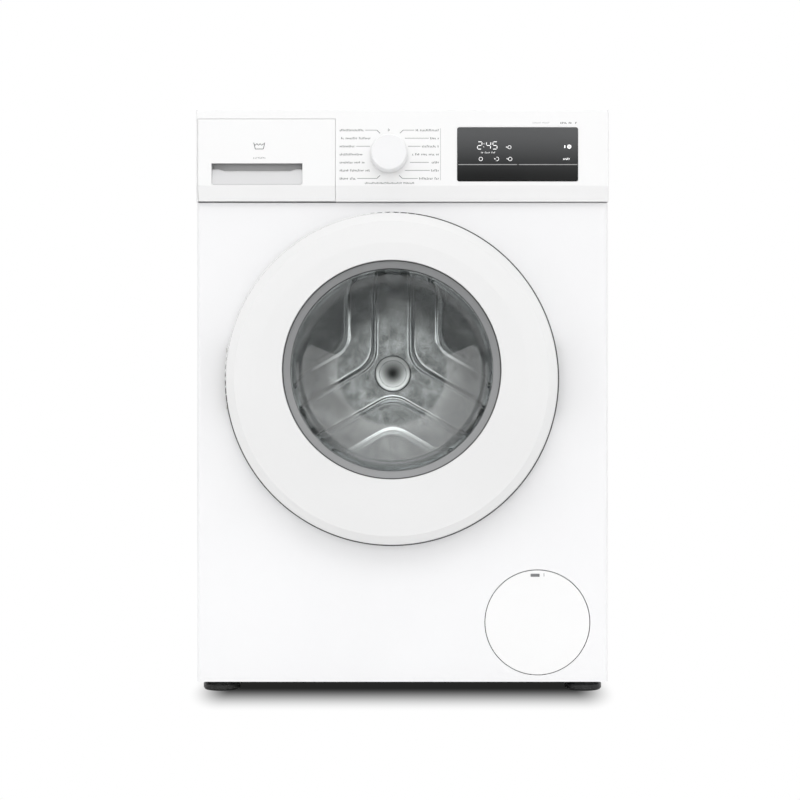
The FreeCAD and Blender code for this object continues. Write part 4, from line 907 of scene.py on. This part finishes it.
display = {
    "digitHeight": 10.5, "digitWidth": 6.2, "digitGap": 3.2, "segment": 0.95, "slant": 0.06, "short": 0.75,
    "digitsLeft": 29.0, "digitsFoot": 46.5,        # from the window's lower left corner, mm
    "time": ((0, 2), (1.35, 4), (2.35, 5)),        # place in digits, figure
    "colon": ((9.212, 49.3), (9.512, 53.6)),       # place of each dot from the first digit, and height
    "word": (34.0, 41.5), "rings": ((34.0, 32.2, 2.6), (75.5, 49.2, 2.4), (76.5, 32.2, 2.6)),
    "openRing": (57.5, 32.2, 2.6), "arrows": ((53.5, 32.2), (70.5, 49.2), (71.5, 32.2)), "fine": 0.6,
    "startRing": (162.0, 50.0, 2.3), "startBar": (155.5, 2.0), "startWord": (153.0, 32.3),
    "lineHeight": 24.1, "lineWidth": 1.15, "lineGap": (86.5, 89.0), "lineEnds": (1.5, 1.0),
    "noteRise": 6.8,                               # height of the small type above the window
}
segmentsOf = {2: "abged", 4: "fgbc", 5: "afgcd"}


def digitBars(value, left, foot):
    # seven-segment figure: a top, b and c right, d foot, e and f left, g middle
    width, height = display["digitWidth"], display["digitHeight"]
    ends = {"a": (0, 1, 1, 1), "b": (1, 1, 1, .5), "c": (1, .5, 1, 0), "d": (0, 0, 1, 0),
            "e": (0, 0, 0, .5), "f": (0, .5, 0, 1), "g": (0, .5, 1, .5)}
    bars = np.array([ends[letter] for letter in segmentsOf[value]], float)
    bars = bars * [width, height, width, height]
    short = (bars[:, 2:] - bars[:, :2])
    short = short / np.linalg.norm(short, axis=1)[:, None] * display["short"]
    bars[:, :2] += short
    bars[:, 2:] -= short
    bars[:, 0] += left + display["slant"] * bars[:, 1]
    bars[:, 2] += left + display["slant"] * bars[:, 3]
    bars[:, 1] += foot
    bars[:, 3] += foot
    return np.hstack([bars, np.full((len(bars), 1), display["segment"])])


def makeDisplay():
    # readout, small symbols, touch marks and the thin line across the window
    low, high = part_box("display_window")
    left, foot, right = low.x / millimetre, low.z / millimetre, high.x / millimetre
    pitch, fine = display["digitWidth"] + display["digitGap"], display["fine"]
    digits = left + display["digitsLeft"]
    digitsFoot = foot + display["digitsFoot"]
    bars = [digitBars(value, digits + place * pitch, digitsFoot) for place, value in display["time"]]
    colon = [(digits + x, foot + z) for x, z in display["colon"]]
    bars.append([[x, z, x, z + 1.0, 1.0] for x, z in colon])
    x, z = display["word"]
    bars.append(greekedWord(left + x, 21.0, foot + z, 1.9, 2.2, 0.4))
    bars += [arcBars(left + x, foot + z, radius, 0, 360, fine) for x, z, radius in display["rings"]]
    x, z, radius = display["openRing"]
    bars.append(arcBars(left + x, foot + z, radius, -120, 110, fine))
    for x, z in display["arrows"]:
        x, z = left + x, foot + z
        bars.append([[x, z, x + 2.2, z, fine], [x, z, x + 1.0, z + 1.2, fine]])
    x, z, radius = display["startRing"]
    x, z = left + x, foot + z
    bars.append(arcBars(x, z, radius, 0, 360, 1.5))
    barX, barHalf = left + display["startBar"][0], display["startBar"][1]
    bars.append([[barX, z - barHalf, barX, z + barHalf, 1.6], [x, z - 1.0, x, z + 1.0, 0.8]])
    x, z = display["startWord"]
    bars.append(greekedWord(left + x, 12.0, foot + z, 2.0, 2.8, 0.8))
    flatBarPiece("displayReadout", bars, low.y, litSegments, slot="display_black")
    z, width = foot + display["lineHeight"], display["lineWidth"]
    gap, ends = display["lineGap"], display["lineEnds"]
    line = [[left + ends[0], z, left + gap[0], z, width], [left + gap[1], z, right - ends[1], z, width]]
    flatBarPiece("displayLine", line, low.y, litLine, slot="display_black")
    above = high.z / millimetre + display["noteRise"]
    flatBarPiece("noteLight", greekedWord(left + 109.0, 26.0, above, 1.7, 2.0, 0.3), fascia, lightInkAndShade)
    flatBarPiece("noteDark", greekedWord(left + 149.0, 24.0, above, 2.4, 3.2, 0.85), fascia, inkGrey)


emblem = {        # generic wash-tub sign above the finger recess
    "sideways": -10.5, "rise": 20.5,        # from the middle of the drawer front, mm
    "size": 8.0, "stroke": 0.9,
    "wave": (0.22, 0.13, 0.88, 0.8),        # height, swell and half width in sizes, and stroke
    "word": (-9.0, 18.5, -17.5, 2.2, 2.6, 0.45),
}


def makeDrawerMarks():
    # a plain wash tub with a wave, as on care labels, and a short greeked line under it;
    # wave: z = height + swell * sin(3 pi t)
    centre, size = middle("drawer_front") / millimetre, emblem["size"]
    x, z = centre.x + emblem["sideways"], centre.z + emblem["rise"]
    tub = np.array([(-1, 0.55), (-0.72, -0.6), (0.72, -0.6), (1, 0.55)]) * size + [x, z]
    tubBars = np.hstack([tub[:-1], tub[1:], np.full((3, 1), emblem["stroke"])])
    height, swell, half, stroke = emblem["wave"]
    t = np.linspace(-1, 1, 25)
    wave = np.stack([x + t * size * half, z + size * (height + swell * np.sin(t * 3 * np.pi))], 1)
    waveBars = np.hstack([wave[:-1], wave[1:], np.full((24, 1), stroke)])
    start, width, drop, *letters = emblem["word"]
    word = greekedWord(x + start, width, z + drop, *letters)
    flatBarPiece("drawerMarks", [tubBars, waveBars, word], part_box("drawer_front")[0].y, inkGrey, "drawer")


grip = {
    "left": -276.4, "right": -145.0, "foot": 736.3, "top": 756.6, "rise": 3.2,
    "bendFrom": 44.5, "bendTo": 57.5,         # distance from the middle where the lip's edge climbs
    "corner": 3.0, "footDepth": -285.65, "lean": 0.3125, "back": -273.75, "roof": 778.8,
    "sheet": 0.12,
}


def makeGrip():
    # lip: a light-grey plate of painted shade, z = foot + t (edge(x) - foot), edge = top + rise *
    # smoothStep(|x - middle|); y follows the ramp;
    # back: a mid-grey plate of painted shade over the back of the recess
    def plate(name, x, y, z, finish):
        grid = np.stack(np.broadcast_arrays(x, y, z), -1) * millimetre
        faces = gridFaces(*grid.shape[:2])
        piece = meshPiece(name, grid.reshape(-1, 3), faces, "front_plastic", "drawer", finish=finish)
        thickened(piece, grip["sheet"])

    x = np.linspace(grip["left"], grip["right"], 140)[:, None]
    t = np.linspace(0, 1, 12)[None, :]
    off = np.abs(x - (grip["left"] + grip["right"]) / 2)
    half = (grip["right"] - grip["left"]) / 2
    corner = grip["corner"]
    foot = grip["foot"] + corner * (np.clip(off - half + corner, 0, None) / corner) ** 2
    edge = grip["top"] + grip["rise"] * smoothStep(off, grip["bendFrom"], grip["bendTo"])
    z = foot + t * (edge - foot)
    plate("gripLip", x, grip["footDepth"] + (z - grip["foot"]) * grip["lean"], z, gripLipShade)
    x = np.linspace(grip["left"], grip["right"], 40)[:, None]
    plate("gripShadeSheet", x, grip["back"], np.linspace(grip["top"] - 6, grip["roof"], 8)[None, :], gripShade)


flapMarks = {
    "notch": (-9.8, 3.2, -7.4, 4.2),        # left end, right end and height from the flap's top, and width
    "notchDepth": 1.05,                     # from the flap's face back to the notch's floor
    "tick": (9.6, -9.0, -4.2, 0.8),
}


def makeFlapMarks():
    # painted shade: the finger notch's floor in grey; and the tick beside it, both riding on the flap
    low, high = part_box("service_flap")
    centre, top = middle("service_flap").x / millimetre, high.z / millimetre
    start, end, drop, width = flapMarks["notch"]
    flatBarPiece("flapNotchShade", [[centre + start, top + drop, centre + end, top + drop, width]],
                 low.y + flapMarks["notchDepth"] * millimetre, lightInkAndShade, "flap")
    x, foot, tip, width = flapMarks["tick"]
    tick = [[centre + x, top + foot, centre + x, top + tip, width]]
    flatBarPiece("flapTick", tick, low.y, lightInkAndShade, "flap")


makeGrip()
makeFlapMarks()
makeProgrammeMarks()
printedText("offMark", "0", knobCentre.x - 0.4, knobCentre.z + 34.5, 5.2, inkGrey, fascia)
makeDisplay()
makeDrawerMarks()
print("fascia marks made")

floor = {
    "reach": 12.0,
    "halfWidth": 0.25, "halfDepth": 0.235,        # the painted shade's full dark, metres
    "sideways": 3.2,                              # how much faster the shade fades beside it than before it
    "dark": 0.02, "fade": 0.2,
    "brightTo": 1.8, "dimFrom": 4.0,              # the lit floor is bright to here and dim from here
    "bright": 0.8, "dim": 0.12,
}


def makeStage():
    # white floor whose shade under and round the object is painted for the eye:
    # d = |stretch * max(|p| - half, 0)|, tone = dark + (1 - dark) * smoothstep(d / fade)
    mesh = bpy.data.meshes.new("floor")
    reach = floor["reach"]
    corners = [(-reach, -reach, 0), (reach, -reach, 0), (reach, reach, 0), (-reach, reach, 0)]
    mesh.from_pydata(corners, [], [(0, 1, 2, 3)])
    piece = bpy.data.objects.new("floor", mesh)
    bpy.context.scene.collection.objects.link(piece)
    material, tree, shader = newMaterial("paleFloor")
    shader.inputs["Roughness"].default_value = 0.7
    place = addNode(tree, "TexCoord").outputs["Object"]
    apart = addNode(tree, "VectorMath", {0: place}, operation="LENGTH").outputs["Value"]
    far = addNode(tree, "MapRange", {"Value": apart, "From Min": floor["brightTo"],
                                     "From Max": floor["dimFrom"]},
                  interpolation_type="SMOOTHSTEP").outputs["Result"]
    lit = mixedColour(tree, far, (*[floor["bright"]] * 3, 1), (*[floor["dim"]] * 3, 1))
    tree.links.new(lit, shader.inputs["Base Color"])
    vector = lambda operation, *inputs: addNode(tree, "VectorMath", dict(enumerate(inputs)),
                                                operation=operation)
    past = vector("ABSOLUTE", place).outputs[0]
    past = vector("SUBTRACT", past, (floor["halfWidth"], floor["halfDepth"], 0.0)).outputs[0]
    past = vector("MAXIMUM", past, (0.0, 0.0, 0.0)).outputs[0]
    past = vector("MULTIPLY", past, (floor["sideways"], 1.0, 1.0)).outputs[0]
    distance = vector("LENGTH", past).outputs["Value"]
    tone = addNode(tree, "MapRange", {"Value": distance, "From Max": floor["fade"], "To Min": floor["dark"]},
                   interpolation_type="SMOOTHSTEP").outputs["Result"]
    shown = addNode(tree, "Emission", {"Strength": tone})
    seen = addNode(tree, "LightPath").outputs["Is Camera Ray"]
    both = addNode(tree, "MixShader", {0: seen, 1: shader.outputs[0], 2: shown.outputs[0]})
    tree.links.new(both.outputs[0], tree.nodes["Material Output"].inputs["Surface"])
    mesh.materials.append(material)


studio = {
    "low": 0.52, "high": 1.0,                          # brightness near the horizon and overhead
    "unlit": (-0.975, -0.998), "patch": 0.06,          # the unlit end before the object, by the ray's Y
    "boxes": (-0.9, -0.94), "glow": 3.4,               # soft boxes round that end
}


def makeWorld():
    # white behind the object; for light and reflections, bright above and dimmer towards the horizon
    world = bpy.data.worlds.new("studio")
    world.use_nodes = True
    tree = world.node_tree
    background = tree.nodes["Background"]
    way = addNode(tree, "SeparateXYZ", {0: addNode(tree, "TexCoord").outputs["Generated"]})
    ramp = lambda value, reach, start, end: addNode(
        tree, "MapRange",
        {"Value": value, "From Min": reach[0], "From Max": reach[1], "To Min": start, "To Max": end},
        interpolation_type="SMOOTHSTEP").outputs["Result"]
    sky = ramp(way.outputs["Z"], (-0.35, 0.75), studio["low"], studio["high"])
    dark = ramp(way.outputs["Y"], studio["unlit"], 1.0, studio["patch"])
    glow = ramp(way.outputs["Y"], studio["boxes"], 1.0, studio["glow"])
    sky = reckon(tree, "MULTIPLY", reckon(tree, "MULTIPLY", sky, glow), dark)
    seen = addNode(tree, "LightPath").outputs["Is Camera Ray"]
    strength = addNode(tree, "Mix", {0: seen, 2: sky, 3: 1.0})
    tree.links.new(strength.outputs[0], background.inputs["Strength"])
    background.inputs["Color"].default_value = (1, 1, 1, 1)
    bpy.context.scene.world = world


lights = {        # place and target in metres, size in metres, power in watts
    "frontSoftbox": ((0.0, -3.0, 3.2), (0, 0, 0.45), (3.2, 1.6), 24),
    "leftStrip": ((-2.8, -1.6, 1.4), (0, 0, 0.45), (0.8, 2.4), 7),
    "rightStrip": ((2.8, -1.6, 1.4), (0, 0, 0.45), (0.8, 2.4), 7),
    "topPanel": ((0.0, 0.4, 3.2), (0, 0, 0.4), (2.4, 2.4), 4),
}


def softLight(name, place, target, size, power):
    light = bpy.data.lights.new(name, "AREA")
    light.shape, light.size, light.size_y, light.energy = "RECTANGLE", size[0], size[1], power
    holder = bpy.data.objects.new(name, light)
    holder.location = place
    holder.rotation_euler = (Vector(target) - Vector(place)).to_track_quat("-Z", "Y").to_euler()
    bpy.context.scene.collection.objects.link(holder)


makeStage()
makeWorld()
for name, settings in lights.items():
    softLight(name, *settings)

camera = {"distance": 2.55, "width": 1.164, "sideways": -0.0036, "height": 0.425}


def makeCamera():
    data = bpy.data.cameras.new("camera")
    data.sensor_width = 36.0
    data.lens = data.sensor_width * camera["distance"] / camera["width"]
    holder = bpy.data.objects.new("camera", data)
    holder.location = (camera["sideways"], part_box("front_panel")[0].y - camera["distance"], camera["height"])
    holder.rotation_euler = (math.radians(90), 0, 0)
    bpy.context.scene.collection.objects.link(holder)
    bpy.context.scene.camera = holder


makeCamera()
bpy.context.scene.view_settings.view_transform = "Standard"
print("stage made")
